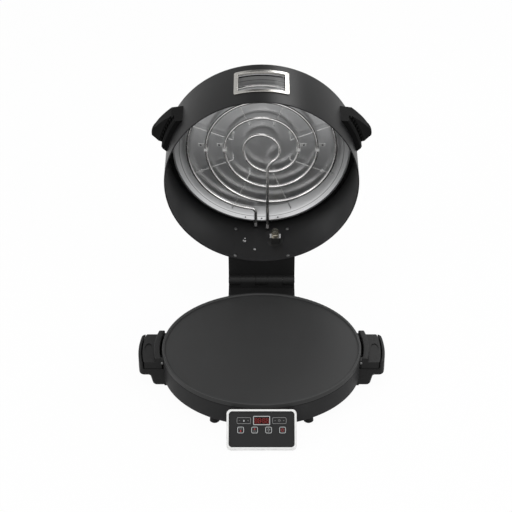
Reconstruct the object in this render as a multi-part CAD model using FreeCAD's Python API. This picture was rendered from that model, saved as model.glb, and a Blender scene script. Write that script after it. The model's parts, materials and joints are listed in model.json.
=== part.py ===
"""Electric round flatbread maker: a low base with a lift-out baking plate and a deep hinged drum lid.

Millimetres. +Z is up, -Y is the front with the control panel, +Y is the rear with the hinge. Pieces are
drawn about the axis of the base. Lid pieces are drawn with the lid shut, heights measured from the shut
rim, and are then turned about the hinge to the open rest position. Last, everything is moved along Y so
that the origin lies on the table under the middle of the whole outline.
"""
import FreeCAD
import Part
import math
import os

V = FreeCAD.Vector
X_AXIS = V(1, 0, 0)
Y_AXIS = V(0, 1, 0)
Z_AXIS = V(0, 0, 1)

# Fits
touch_gap = 0.3
running_gap = 0.05
screw_gap = 0.05
knuckle_gap = 0.5
key_gap = 0.35

# Overall form
body_r = 205.0
base_bottom_z = 19.0
base_top_z = 59.5
plate_stand = 10.5
rim_z = base_top_z + plate_stand
lid_gap = 1.0
lid_depth = 146.0
lid_open_deg = 83.0

# Base housing and its bottom
housing_wall = 1.2
housing_edge_r = 2.0
bottom_flange = 30.0
shoulder_width = 17.0
cover_wall = 1.2
cover_inset = 6.0
cover_r = body_r - cover_inset
vent_row_insets = (135.0, 109.0, 83.0)
vent_count = 8
vent_sweep_deg = 24.0
vent_width = 5.0
foot_inset = 18.0
foot_circle_r = body_r - foot_inset
foot_angle_deg = 60.0
foot_r = 10.0
foot_top_r = 8.6
foot_bore_r = 4.4
foot_edge = 1.5
foot_seat_z = 8.0
weld_nut_r = 4.2
weld_nut_h = 3.5

# Screws
screw_r = 2.0
screw_head_r = 3.8
screw_head_h = 2.4

# Heating elements
tube_r = 3.3
lower_out_inset = 75.0
lower_first_r = 42.0
lower_turns = 3
lower_pitch = (body_r - lower_out_inset - lower_first_r) / (lower_turns - 1)
lower_element_drop = 9.0
lower_element_z = base_top_z - lower_element_drop
leg_x = 13.0
leg_bend_r = 12.0
lower_leg_inset = 13.0
lower_leg_y = body_r - lower_leg_inset
upper_out_inset = 44.5
upper_first_r = 39.0
upper_turns = 4
upper_pitch = (body_r - upper_out_inset - upper_first_r) / (upper_turns - 1)
upper_centre_y = -6.0
upper_element_drop = 21.0
upper_element_h = lid_depth - upper_element_drop
upper_leg_rise = 8.0
upper_swan_length = 50.0

# Lower reflector and its supports
reflector_wall = 0.8
reflector_floor_drop = 23.5
reflector_floor_z = base_top_z - reflector_floor_drop
reflector_floor_inset = 37.0
reflector_floor_r = body_r - reflector_floor_inset
reflector_neck_inset = 21.0
reflector_neck_r = body_r - reflector_neck_inset
reflector_flange_inset = 7.0
reflector_flange_r = body_r - reflector_flange_inset
support_count = 4
support_angle_deg = 45.0
support_strip = 1.5
support_strip_width = 10.0
support_inner_r = 64.0

# Plate sensor
sensor_r = 9.0
sensor_cap_h = 7.0
sensor_stem_r = 4.0
sensor_flange_r = 12.0
sensor_flange_h = 2.0

# Baking plate
plate_floor = 4.5
plate_lip_h = 3.0
plate_lip_w = 6.0
plate_skirt = 4.0
plate_edge_r = 1.4
lug_inner_y = 37.5
lug_outer_y = 49.0
lug_top_drop = 6.0
lug_top_z = rim_z - lug_top_drop
lug_height = 9.0
lug_bottom_z = lug_top_z - lug_height
lug_tongue = 3.5
lug_tongue_reach = 19.0
lug_screw_head_r = 2.8
lug_screw_head_h = 1.8

# Plate handles, which nest in the base handles
slot_width = 4.5
handle_mid_y = 4.5
handle_bow = 5.0
plate_handle_half_y = 51.5
plate_handle_corner_r = 4.0
plate_handle_drop = 9.0
plate_handle_top_z = rim_z - plate_handle_drop
plate_handle_reach = 40.4
plate_handle_out_x = body_r + plate_handle_reach
guard_width = 12.0
guard_rise = 0.5
guard_top_z = rim_z + guard_rise
thumb_half_x = 8.0
thumb_half_y = 17.0
thumb_depth = 1.4

# Base handles
cradle_half_y = 52.5
cradle_floor_drop = 25.0
cradle_floor_z = rim_z - cradle_floor_drop
cradle_groove = 2.4
cradle_wall = 6.2
cradle_edge_r = 1.8
cradle_thick = 16.0
cradle_bottom_z = cradle_floor_z - cradle_thick
cradle_corner_r = 11.0
bracket_top_reach = 23.0
bracket_top_x = body_r + bracket_top_reach
bracket_low_reach = 17.0
bracket_low_x = body_r + bracket_low_reach
bracket_low_z = 4.5
bracket_round_r = 5.0
bracket_toe_r = 9.0
cradle_screw_y = 28.0
cradle_screw_z = 30.0
cradle_screw_reach = 16.0

# Hinge
hinge_reach = 51.0
hinge_y = body_r + hinge_reach
hinge_z = rim_z
bracket_half_x = 72.0
barrel_inset = 1.0
barrel_half_x = bracket_half_x - barrel_inset
barrel_r = 12.0
hinge_lip_drop = 7.0
pin_r = 4.0
pin_cap_over = 2.5
pin_cap = 1.0
knuckle_outer_x = 45.9
knuckle_inner_x = 13.3
lid_bracket_low_h = 2.0
lid_bracket_top_gap = 8.0
lid_bracket_high_h = lid_depth - lid_bracket_top_gap
lid_bracket_knee = 34.0
lid_bracket_knee_z = hinge_z + lid_bracket_knee
lid_bracket_wall = 5.0
lid_bracket_top_depth = 14.0
lid_screw_inset = 14.5
lid_screw_x = bracket_half_x - lid_screw_inset
lid_screw_low_h = 9.3
lid_screw_drop = 41.0
lid_screw_high_h = lid_depth - lid_screw_drop
lid_screw_reach = 10.0
base_bracket_low_z = 23.0
base_bracket_reach = 30.0
base_bracket_rear_y = hinge_y + base_bracket_reach
base_bracket_toe = 14.0
base_bracket_wall = 6.0
base_screw_inset = 20.0
base_screw_x = bracket_half_x - base_screw_inset
base_screw_z = 40.0
base_screw_reach = 18.0

# Control panel, drawn flat and then laid on its slope
panel_width = 136.6
panel_height = 79.2
panel_depth = 12.0
panel_border = 6.0
panel_corner_r = 9.0
panel_slope_deg = 43.0
panel_reach = 36.0
panel_centre_y = -body_r - panel_reach
panel_centre_z = 38.0
panel_edge_r = 2.0
panel_ledge = 1.6
face_recess = 0.8
face_thick = 3.0
face_corner_r = 4.0
panel_housing_half_x = 64.0
panel_housing_wall = 2.5
panel_housing_floor_z = 8.0
panel_housing_step = 4.0
panel_housing_lip = 0.2
key_size = 13.8
key_corner_r = 3.0
key_edge = 0.4
key_proud = 0.6
key_travel = 0.8
key_flange = 1.2
key_flange_over = 0.9
key_row_y = -1.6
key_inner_x = 13.6
key_outer_x = 40.7
rocker_length = 28.4
rocker_x = 34.6
rocker_row_y = 16.9
rocker_pivot_r = 1.0
rocker_pivot_reach = 1.6
rocker_lug = 2.4
rocker_tilt_deg = 3.0
rocker_arm = 10.2
switch_gap = 0.1
display_width = 33.3
display_height = 18.3
display_row_y = 17.2
lens_thick = 2.0
lens_corner_r = 0.9
board_width = 114.0
board_height = 57.0
board_thick = 1.6
board_drop = 10.4
switch_body = 6.0
switch_body_h = 3.0
switch_plunger_r = 1.7
post_r = 3.2
post_x = 52.0
post_y = 23.5
panel_screw_r = 1.2
panel_screw_head_r = 2.4
panel_screw_head_h = 1.4
housing_screw_x = 40.0
housing_screw_z = 40.0
housing_screw_length = 9.0

# Power board, terminals and cord inlet
power_board_x = 74.0
power_board_y = 46.0
power_board_centre_y = -70.0
power_part_h = 11.0
power_board_rise = 4.0
terminal_x = 46.0
terminal_y = 18.0
terminal_h = 12.0
terminal_centre_y = 120.0
gland_angle_deg = 140.0
gland_z = 36.0
gland_r = 8.0
gland_bore_r = 4.0
gland_flange_r = 11.0
gland_flange = 4.0
gland_reach = 12.0

# Lid drum and cover
lid_wall = 0.8
hem_wall = 2.4
hem_h = 5.0
lid_back_flange = 18.0
cover_step_h = 12.0
cover_step_inset = 29.0
cover_step_r = body_r - cover_step_inset
cover_lip = 1.0

# Reflector dish, its fixings and insulation
dish_wall = 0.8
dish_floor_drop = 5.0
dish_floor_h = lid_depth - dish_floor_drop
dish_floor_inset = 45.0
dish_floor_r = body_r - dish_floor_inset
dish_slope = 12.0
dish_slope_r = dish_floor_r + dish_slope
dish_edge_h = dish_floor_h - dish_slope
dish_edge_width = 20.0
dish_edge_r = dish_slope_r + dish_edge_width
dish_hole_r = 1.8
dish_hole_x = 36.0
dish_hole_inset = 8.0
dish_hole_circle_r = dish_edge_r - dish_hole_inset
dish_screw_inset = 13.7
dish_screw_circle_r = dish_floor_r - dish_screw_inset
dish_screw_deg = 25.5
dish_low_screw_r = 72.7
dish_low_screw_deg = -31.5
standoff_r = 5.0
pad_inset = 4.0
pad_r = dish_floor_r - pad_inset
pad_thick = 12.0
limiter_x = 90.0
limiter_y = 90.0
limiter_r = 8.0
limiter_h = 11.0

# Radial wires and clips that hold the upper element
wire_r = 1.1
wire_count = 8
wire_inner_r = 67.0
wire_bend_r = 3.0
clip_width = 7.0
clip_sheet = 1.0
clip_foot = 14.0
rivet_r = 2.2
rivet_h = 1.2

# Terminal insulators
insulator_r = 5.6
insulator_reach = 4.0
insulator_tail = 9.0

# Window
window_half_x = 57.5
window_low_h = 38.0
window_high_drop = 24.0
window_high_h = lid_depth - window_high_drop
window_side_border = 9.0
window_end_border = 9.5
window_corner_r = 5.0
window_proud = 2.2
window_depth = 8.0
window_rebate = 2.5
window_front_lip = 2.4
glass_thick = 3.5
window_fit = 0.3

# Lid handles, angles measured from the side towards the front
handle_rear_deg = 12.3
handle_front_deg = 36.3
handle_pad = 13.0
handle_pad_r = body_r + handle_pad
handle_reach = 38.5
handle_out_r = body_r + handle_reach
handle_high_drop = 30.0
handle_high_h = lid_depth - handle_high_drop
handle_nose_h = 17.0
handle_flare_h = handle_high_h - handle_nose_h
handle_flare_rise = 17.0
handle_ledge_h = handle_flare_h - handle_flare_rise
handle_pad_h = 22.0
handle_low_h = handle_ledge_h - handle_pad_h
handle_rib_r = 1.9
handle_rib_count = 8
handle_rib_drop = 6.9
handle_screw_degs = (15.5, 30.5)
handle_screw_rise = 8.0
handle_screw_h = handle_ledge_h + handle_screw_rise
handle_screw_reach = 9.0

# Lamp and studs on the rear wall of the lid
lamp_x = 30.0
lamp_h = 68.0
lamp_hole_r = 17.0
lamp_holder_half = 8.5
lamp_holder_reach = 14.0
lamp_flange_r = 21.0
lamp_flange = 2.0
lamp_plate_x = 24.0
lamp_plate_z = 15.0
lamp_plate_thick = 1.4
lamp_cap_r = 8.2
lamp_cap_h = 7.0
lamp_bulb_r = 7.6
lamp_bulb_h = 10.5
stud_places = ((-38.2, 66.3), (-15.4, 40.2))
stud_length = 9.0
wall_rivet_r = 2.7
wall_rivet_h = 1.6

# Values that follow from the sizes above
lid_rim_z = rim_z + lid_gap
lid_inner_r = body_r - lid_wall
plate_floor_top_z = rim_z - plate_lip_h
plate_under_z = plate_floor_top_z - plate_floor
skirt_bottom_z = base_top_z + touch_gap
cover_z = base_bottom_z - cover_wall
handle_inner_r = body_r + slot_width
cradle_out_x = plate_handle_out_x + cradle_groove + cradle_wall
panel_turn = FreeCAD.Rotation(X_AXIS, panel_slope_deg)
face_width = panel_width - 2 * panel_border
face_height = panel_height - 2 * panel_border
face_back = -face_recess - face_thick
board_top = -board_drop
lens_back = -face_recess - lens_thick

nodes = {}


def keep(name, shape):
    """Store a finished node of the base, the plate or the panel."""
    nodes[name] = shape


def keep_lid(name, shape):
    """Turn a lid piece from the shut to the open position and store it."""
    turned = shape.copy()
    turned.rotate(V(0, hinge_y, hinge_z), X_AXIS, -lid_open_deg)
    nodes[name] = turned


def keep_panel(name, shape):
    """Lay a piece of the control panel on its slope and store it."""
    laid = shape.copy()
    laid.Placement = FreeCAD.Placement(V(0, panel_centre_y, panel_centre_z), panel_turn)
    nodes[name] = laid


def fuse(shapes):
    """Join overlapping shapes into one solid."""
    joined = shapes[0].multiFuse(shapes[1:]).removeSplitter()
    return joined.Solids[0] if len(joined.Solids) == 1 else joined


def cut(shape, tools):
    """Take every tool out of the shape."""
    return shape.cut(Part.makeCompound(tools))


def group(shapes):
    """Hold separate solids of one kind together."""
    return Part.makeCompound(shapes)


def face_of(points):
    """Flat face inside a closed outline of straight edges."""
    return Part.Face(Part.makePolygon(list(points) + [points[0]]))


def spin(profile, degrees=360.0):
    """Turn an outline given as radius and height about the vertical axis."""
    return face_of([V(r, 0, z) for r, z in profile]).revolve(V(0, 0, 0), Z_AXIS, degrees)


def tube(r_out, r_in, z_low, z_high):
    """Upright round tube."""
    return spin([(r_in, z_low), (r_out, z_low), (r_out, z_high), (r_in, z_high)])


def rod(radius, start, direction, length):
    """Round bar from a point along a direction."""
    return Part.makeCylinder(radius, length, start, direction)


def prism_x(points, half_x):
    """Side outline given as y and z, drawn out evenly to both sides of the middle."""
    face = face_of([V(-half_x, y, z) for y, z in points])
    return face.extrude(V(2 * half_x, 0, 0))


def prism_y(points, half_y):
    """Front outline given as x and z, drawn out evenly along Y."""
    face = face_of([V(x, -half_y, z) for x, z in points])
    return face.extrude(V(0, 2 * half_y, 0))


def block(x_low, x_high, y_low, y_high, z_low, z_high):
    """Box between two corners."""
    return Part.makeBox(x_high - x_low, y_high - y_low, z_high - z_low, V(x_low, y_low, z_low))


def rounded_plate(width, height, corner, z_low, z_high, centre=(0.0, 0.0)):
    """Upright plate with round corners, centred in plan."""
    x, y = centre
    body = block(x - width / 2, x + width / 2, y - height / 2, y + height / 2, z_low, z_high)
    upright = [e for e in body.Edges if abs(e.tangentAt(e.FirstParameter).z) > 0.9]
    return body.makeFillet(corner, upright)


def mirrored(shape):
    """Copy on the other side of the middle plane."""
    return shape.mirror(V(0, 0, 0), X_AXIS)


def edges_at_z(shape, z):
    """Edges that lie wholly at one height."""
    box = 1e-4
    return [e for e in shape.Edges if abs(e.BoundBox.ZMin - z) < box and abs(e.BoundBox.ZMax - z) < box]


def screw(point, direction, reach, radius=screw_r, head_r=screw_head_r, head_h=screw_head_h):
    """Pan head screw: the point lies under the head, the direction runs down the shank."""
    head = rod(head_r, point - direction * head_h, direction, head_h)
    crown = [e for e in head.Edges if (e.CenterOfMass - point).Length > head_h / 2]
    head = head.makeChamfer(head_h * 0.35, [e for e in crown if e.Length > head_r])
    return fuse([head, rod(radius, point, direction, reach)])


def polar(radius, degrees, z=0.0):
    """Point on a circle, the angle measured from +X towards +Y."""
    turn = math.radians(degrees)
    return V(radius * math.cos(turn), radius * math.sin(turn), z)


def arc(start, middle, end):
    """Round edge through three points."""
    return Part.Arc(start, middle, end).toShape()


def pipe(edges, radius):
    """Round bar along edges that meet smoothly."""
    path = Part.Wire(edges)
    start = edges[0].valueAt(edges[0].FirstParameter)
    heading = edges[0].tangentAt(edges[0].FirstParameter)
    ring = Part.Wire(Part.Circle(start, heading, radius).toShape())
    return path.makePipeShell([ring], True, False)


def spiral_edges(first_r, pitch, turns, centre_y, z, leg_end_y, rise, swan):
    """Element path: inner leg, swan neck, half turns that grow by the pitch, then the outer leg.

    Front halves share one centre. Each rear half joins the left of one turn to the right of the next.
    The inner leg crosses the turns on the side towards the food, so it lies lower by the rise.
    """
    def at(x, y, drop=0.0):
        return V(x, centre_y + y, z - drop)

    half_swan = (first_r - leg_x) / 2
    swan_turn = 2 * math.atan2(2 * half_swan, swan)
    swan_r = swan / (2 * math.sin(swan_turn))
    side = swan_r * (1 - math.cos(swan_turn / 2))
    along = swan_r * math.sin(swan_turn / 2)
    middle_x = leg_x + half_swan
    edges = [Part.LineSegment(V(leg_x, leg_end_y, z - rise), at(leg_x, swan, rise)).toShape()]
    neck = at(middle_x, swan / 2, rise)
    edges.append(arc(at(leg_x, swan, rise), at(leg_x + side, swan - along, rise), neck))
    edges.append(arc(neck, at(first_r - side, along, rise), at(first_r, 0, rise)))
    for turn in range(turns):
        r = first_r + pitch * turn
        drop = rise if turn == 0 else 0.0
        edges.append(arc(at(r, 0, drop), at(0, -math.hypot(r, drop / 2), drop / 2), at(-r, 0)))
        if turn < turns - 1:
            rear_r = r + pitch / 2
            edges.append(arc(at(-r, 0), at(pitch / 2, rear_r), at(r + pitch, 0)))
    last_r = first_r + pitch * (turns - 1)
    heading = math.asin((leg_bend_r + leg_x) / (last_r + leg_bend_r))
    swing = (math.pi / 2 + heading) / 2
    leave = at(-last_r * math.sin(heading), last_r * math.cos(heading))
    quarter = at(-last_r * math.sin((math.pi / 2 + heading) / 2), last_r * math.cos(swing))
    edges.append(arc(at(-last_r, 0), quarter, leave))
    bend_x = -leg_x - leg_bend_r
    hub = leave + V(-math.sin(heading), math.cos(heading), 0) * leg_bend_r
    half = heading + (math.pi / 2 - heading) / 2
    bend_mid = hub + V(math.sin(half), -math.cos(half), 0) * leg_bend_r
    bend_end = V(bend_x + leg_bend_r, hub.y, z)
    edges.append(arc(leave, bend_mid, bend_end))
    edges.append(Part.LineSegment(bend_end, V(-leg_x, leg_end_y, z)).toShape())
    return edges


def least_gap(edges, step=6.0):
    """Smallest distance between stretches of the tube that are not neighbours along its length."""
    points = []
    for edge in edges:
        points.extend(edge.discretize(Distance=step)[:-1])
    apart = int(60.0 / step)
    least = min((a - b).Length for i, a in enumerate(points) for b in points[i + apart:])
    return least - 2 * tube_r


def shell_patch(prism, r_in, r_out):
    """Part of a round wall that lies inside a prism."""
    return prism.common(tube(r_out, r_in, lid_rim_z, lid_rim_z + lid_depth))


def window_prism(half_x, low_h, high_h, corner):
    """Prism through the front wall with a rounded rectangle for its outline."""
    flat = rounded_plate(2 * half_x, high_h - low_h, corner, 0, body_r + 60)
    flat.rotate(V(0, 0, 0), X_AXIS, 90)
    flat.translate(V(0, 0, lid_rim_z + (low_h + high_h) / 2))
    return flat


def wall_seat(radius, x, z, side=1):
    """Seat on the inside of a round wall and the way out through it; side 1 is the rear, -1 the front."""
    heading = V(x, side * math.sqrt(radius * radius - x * x), 0).normalize()
    return heading * (radius - screw_gap) + V(0, 0, z), heading


def through_hole(seat):
    """Screw hole through a sheet wall."""
    point, heading = seat
    return rod(screw_r + screw_gap, point - heading * 5, heading, 10)


def wall_boss(seat, reach):
    """Screw boss that stands on the outside of a round wall."""
    point, heading = seat
    return rod(screw_r * 2.5, point, heading, reach)


def build_base_shell():
    """Round housing, bottom cover, feet and foot screws."""
    inner = body_r - housing_wall
    profile = [(body_r - bottom_flange, base_bottom_z), (body_r, base_bottom_z), (body_r, base_top_z),
               (body_r - shoulder_width, base_top_z), (body_r - shoulder_width, base_top_z - housing_wall),
               (inner, base_top_z - housing_wall), (inner, base_bottom_z + housing_wall),
               (body_r - bottom_flange, base_bottom_z + housing_wall)]
    housing = spin(profile)
    rims = edges_at_z(housing, base_bottom_z) + edges_at_z(housing, base_top_z)
    corner = [e for e in rims if e.BoundBox.XMax > body_r - 1]
    housing = housing.makeFillet(housing_edge_r * 0.5, corner)
    foot_points = [polar(foot_circle_r, s * foot_angle_deg + t) for t in (0, 180) for s in (1, -1)]
    flange_top = base_bottom_z + housing_wall
    nuts = [rod(weld_nut_r, p + V(0, 0, flange_top), Z_AXIS, weld_nut_h) for p in foot_points]
    shank_holes = [rod(screw_r + screw_gap, p + V(0, 0, foot_seat_z), Z_AXIS, base_bottom_z)
                   for p in foot_points]
    wall_holes = cradle_holes() + hinge_holes() + panel_holes() + [gland_hole()]
    housing = cut(fuse([housing] + nuts), shank_holes + wall_holes)
    keep("base_housing", housing)

    cover = Part.makeCylinder(cover_r, cover_wall, V(0, 0, cover_z))
    slots = []
    for inset in vent_row_insets:
        r = body_r - inset
        for i in range(vent_count):
            slot = face_of([V(r, 0, cover_z - 1), V(r + vent_width, 0, cover_z - 1),
                            V(r + vent_width, 0, base_bottom_z + 1), V(r, 0, base_bottom_z + 1)])
            slot.rotate(V(0, 0, 0), Z_AXIS, 360.0 / vent_count * i - vent_sweep_deg / 2)
            slots.append(slot.revolve(V(0, 0, 0), Z_AXIS, vent_sweep_deg))
    keep("bottom_cover", cut(cover, slots + shank_holes))

    hole_r = screw_r + screw_gap
    foot = spin([(hole_r, foot_seat_z), (foot_bore_r, foot_seat_z), (foot_bore_r, 0), (foot_r - foot_edge, 0),
                 (foot_r, foot_edge), (foot_top_r, cover_z), (hole_r, cover_z)])
    feet = []
    screws = []
    for p in foot_points:
        copy = foot.copy()
        copy.translate(p)
        feet.append(copy)
        screws.append(screw(p + V(0, 0, foot_seat_z), Z_AXIS, flange_top + weld_nut_h - foot_seat_z))
    keep("rubber_feet", group(feet))
    keep("foot_screws", group(screws))


def build_lower_heat():
    """Lower reflector, element, supports and the sensor under the plate."""
    under = base_top_z - housing_wall
    wall = reflector_wall
    low = reflector_floor_z
    pan = spin([(0, low), (reflector_floor_r, low), (reflector_neck_r, under - wall),
                (reflector_flange_r, under - wall), (reflector_flange_r, under),
                (reflector_neck_r - wall, under), (reflector_floor_r - wall, low + wall), (0, low + wall)])
    sensor_hole = rod(sensor_stem_r + touch_gap, V(0, 0, reflector_floor_z - 1), Z_AXIS, 4)
    element = lower_element()
    leg_holes = []
    for side, drop in ((1, upper_leg_rise), (-1, 0.0)):
        start = V(side * leg_x, reflector_floor_r - 6, lower_element_z - drop)
        leg_holes.append(rod(tube_r + touch_gap, start, Y_AXIS, body_r - reflector_floor_r))
    keep("lower_reflector", cut(pan, [sensor_hole] + leg_holes))
    keep("lower_heating_element", element)

    top = lower_element_z - tube_r - touch_gap
    reach = lower_first_r + lower_pitch * (lower_turns - 1) + lower_pitch / 2
    foot_z = reflector_floor_z + wall
    strips = []
    for i in range(support_count):
        strip = prism_y([(support_inner_r, foot_z), (reach, foot_z), (reach, foot_z + support_strip),
                         (support_inner_r + support_strip, foot_z + support_strip)], support_strip_width / 2)
        web = block(support_inner_r, reach, -support_strip / 2, support_strip / 2, foot_z, top)
        bar = fuse([strip, web])
        bar.rotate(V(0, 0, 0), Z_AXIS, support_angle_deg + i * 360.0 / support_count)
        leg_room = rod(tube_r + 1, V(leg_x, 0, lower_element_z - upper_leg_rise), Y_AXIS, body_r)
        swan_room = block(-leg_x, lower_first_r + 5, -8, lower_first_r + 20,
                          lower_element_z - upper_leg_rise - tube_r - 1, lower_element_z + 5)
        strips.append(cut(bar, [leg_room, swan_room]))
    keep("lower_element_supports", group(strips))

    cap_top = plate_under_z - touch_gap
    cap = spin([(0, cap_top - sensor_cap_h), (sensor_r, cap_top - sensor_cap_h), (sensor_r, cap_top - 1),
                (sensor_r - 1, cap_top), (0, cap_top)])
    stem_h = cap_top - sensor_cap_h - reflector_floor_z + 5
    stem = rod(sensor_stem_r, V(0, 0, reflector_floor_z - 4), Z_AXIS, stem_h)
    flange = rod(sensor_flange_r, V(0, 0, foot_z), Z_AXIS, sensor_flange_h)
    keep("plate_sensor", fuse([cap, stem, flange]))


def lower_element():
    """Spiral tube under the plate, with both legs led out to the rear."""
    edges = spiral_edges(lower_first_r, lower_pitch, lower_turns, 0.0, lower_element_z, lower_leg_y,
                         upper_leg_rise, upper_swan_length)
    print("lower element least gap", round(least_gap(edges), 2))
    return pipe(edges, tube_r)


def build_plate():
    """Baking plate with its rim, skirt and lugs, and the two cool handles."""
    lip_in = body_r - plate_lip_w
    skirt_in = body_r - plate_skirt
    plate = spin([(0, plate_under_z), (skirt_in, plate_under_z), (skirt_in, skirt_bottom_z),
                  (body_r, skirt_bottom_z), (body_r, rim_z), (lip_in + plate_lip_h * 0.5, rim_z),
                  (lip_in, plate_floor_top_z), (0, plate_floor_top_z)])
    outer_edge = [e for e in edges_at_z(plate, rim_z) if e.BoundBox.XMax > body_r - 0.1]
    plate = plate.makeFillet(plate_edge_r, outer_edge)
    root_in = body_r - plate_skirt / 2
    tongue_x = handle_inner_r + lug_tongue_reach
    lugs = []
    for side in (1, -1):
        for end in (1, -1):
            y_low = handle_mid_y + min(end * lug_inner_y, end * lug_outer_y)
            band = block(0, body_r * 2, y_low, y_low + lug_outer_y - lug_inner_y, 0, lug_top_z * 2)
            above = tube(handle_inner_r - touch_gap, root_in, skirt_bottom_z, lug_top_z)
            below = tube(handle_inner_r - touch_gap, body_r + touch_gap, lug_bottom_z, lug_top_z)
            tongue = block(body_r * 0.9, tongue_x, y_low + 1, y_low + lug_outer_y - lug_inner_y - 1,
                           lug_bottom_z, lug_bottom_z + lug_tongue)
            tongue = tongue.cut(Part.makeCylinder(body_r + touch_gap, rim_z * 2))
            lug = fuse([above.common(band), below.common(band), tongue])
            lugs.append(lug if side > 0 else mirrored(lug))
    plate = fuse([plate] + lugs)
    handle, screws = plate_handle()
    keep("baking_plate", cut(plate, [s for s in lug_pilot_holes()]))
    keep("right_plate_handle", handle)
    keep("left_plate_handle", mirrored(handle))
    keep("plate_handle_screws", group(screws + [mirrored(s) for s in screws]))


def lug_screw_points():
    """Places on the lug ends where the handle ears are screwed on, with the way the screws run."""
    r = body_r + slot_width / 2 + touch_gap / 2
    z = (lug_top_z + lug_bottom_z) / 2
    points = []
    for end in (1, -1):
        y = handle_mid_y + end * lug_outer_y
        points.append((V(math.sqrt(r * r - y * y), y, z), V(0, -end, 0)))
    return points


def lug_pilot_holes():
    """Pilot holes in the lug ends."""
    holes = []
    for point, heading in lug_screw_points():
        hole = rod(panel_screw_r + screw_gap, point - heading, heading, 8)
        holes.extend([hole, mirrored(hole)])
    return holes


def plate_handle():
    """Cool handle of the baking plate, with its finger guard, thumb rest and end ears, and its screws."""
    bottom = cradle_floor_z + touch_gap
    inner = Part.makeCylinder(handle_inner_r, rim_z * 3, V(0, 0, -rim_z))
    main = bowed_plan(plate_handle_out_x, plate_handle_half_y, plate_handle_corner_r, bottom,
                      plate_handle_top_z).cut(inner)
    front_y = handle_mid_y - plate_handle_half_y
    rear_y = handle_mid_y + plate_handle_half_y
    guard = tube(handle_inner_r + guard_width, handle_inner_r, bottom, guard_top_z)
    guard = guard.common(block(0, body_r * 2, front_y, rear_y, 0, rim_z * 2))
    handle = fuse([main, guard])
    crown = [e for e in edges_at_z(handle, guard_top_z) if e.Length > 2 * guard_width]
    handle = handle.makeFillet(2.0, crown)
    thumb_x = (handle_inner_r + guard_width + plate_handle_out_x) / 2
    oval = Part.Ellipse(V(0, 0, 0), thumb_half_y, thumb_half_x).toShape()
    dish = Part.Face(Part.Wire(oval)).extrude(V(0, 0, thumb_depth + 1))
    dish.rotate(V(0, 0, 0), Z_AXIS, 90)
    dish.translate(V(thumb_x, handle_mid_y, plate_handle_top_z - thumb_depth))
    ear_zone = tube(handle_inner_r + 1, body_r + touch_gap, lug_bottom_z, lug_top_z)
    ears = []
    rooms = [dish]
    screws = []
    for end in (1, -1):
        y_near = handle_mid_y + end * (lug_outer_y + touch_gap)
        y_far = handle_mid_y + end * plate_handle_half_y
        band = block(0, body_r * 2, min(y_near, y_far), max(y_near, y_far), 0, rim_z * 2)
        ears.append(ear_zone.common(band))
        y_low = handle_mid_y + min(end * lug_inner_y, end * lug_outer_y) + 1
        rooms.append(block(0, handle_inner_r + lug_tongue_reach + touch_gap, y_low - touch_gap,
                           y_low + lug_outer_y - lug_inner_y - 2 + touch_gap, lug_bottom_z - touch_gap,
                           lug_bottom_z + lug_tongue + touch_gap))
    handle = cut(fuse([handle] + ears), rooms)
    for point, heading in lug_screw_points():
        seat = V(point.x, front_y if heading.y > 0 else rear_y, point.z)
        handle = handle.cut(rod(panel_screw_r + screw_gap, seat - heading, heading, 8))
        screws.append(screw(seat, heading, 8, panel_screw_r, lug_screw_head_r, lug_screw_head_h))
    return handle, screws


def bowed_plan(out_x, half_y, corner, z_low, z_high):
    """Block that reaches out to one side, with a bowed outer face and rounded outer corners."""
    bow = handle_bow * (half_y / plate_handle_half_y) ** 2
    end_x = out_x - bow
    front = handle_mid_y - half_y
    rear = handle_mid_y + half_y
    plan = [(end_x, rear), (0, rear), (0, front), (end_x, front)]
    sides = Part.makePolygon([V(x, y, z_low) for x, y in plan])
    face = arc(V(end_x, front, z_low), V(out_x, handle_mid_y, z_low), V(end_x, rear, z_low))
    body = Part.Face(Part.Wire(sides.Edges + [face])).extrude(V(0, 0, z_high - z_low))
    upright = [e for e in body.Edges if e.BoundBox.XMin > end_x - 1 and e.BoundBox.YLength < 1]
    return body.makeFillet(corner, upright)


def cradle_seats():
    """Screw seats of the right base handle on the inside of the housing wall."""
    inner = body_r - housing_wall
    seats = []
    for y in (cradle_screw_y, -cradle_screw_y):
        heading = V(math.sqrt(inner * inner - y * y), y, 0).normalize()
        seats.append((heading * (inner - screw_gap) + V(0, 0, cradle_screw_z), heading))
    return seats


def cradle_holes():
    """Screw holes for both base handles in the housing wall."""
    holes = [through_hole(seat) for seat in cradle_seats()]
    return holes + [mirrored(h) for h in holes]


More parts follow.
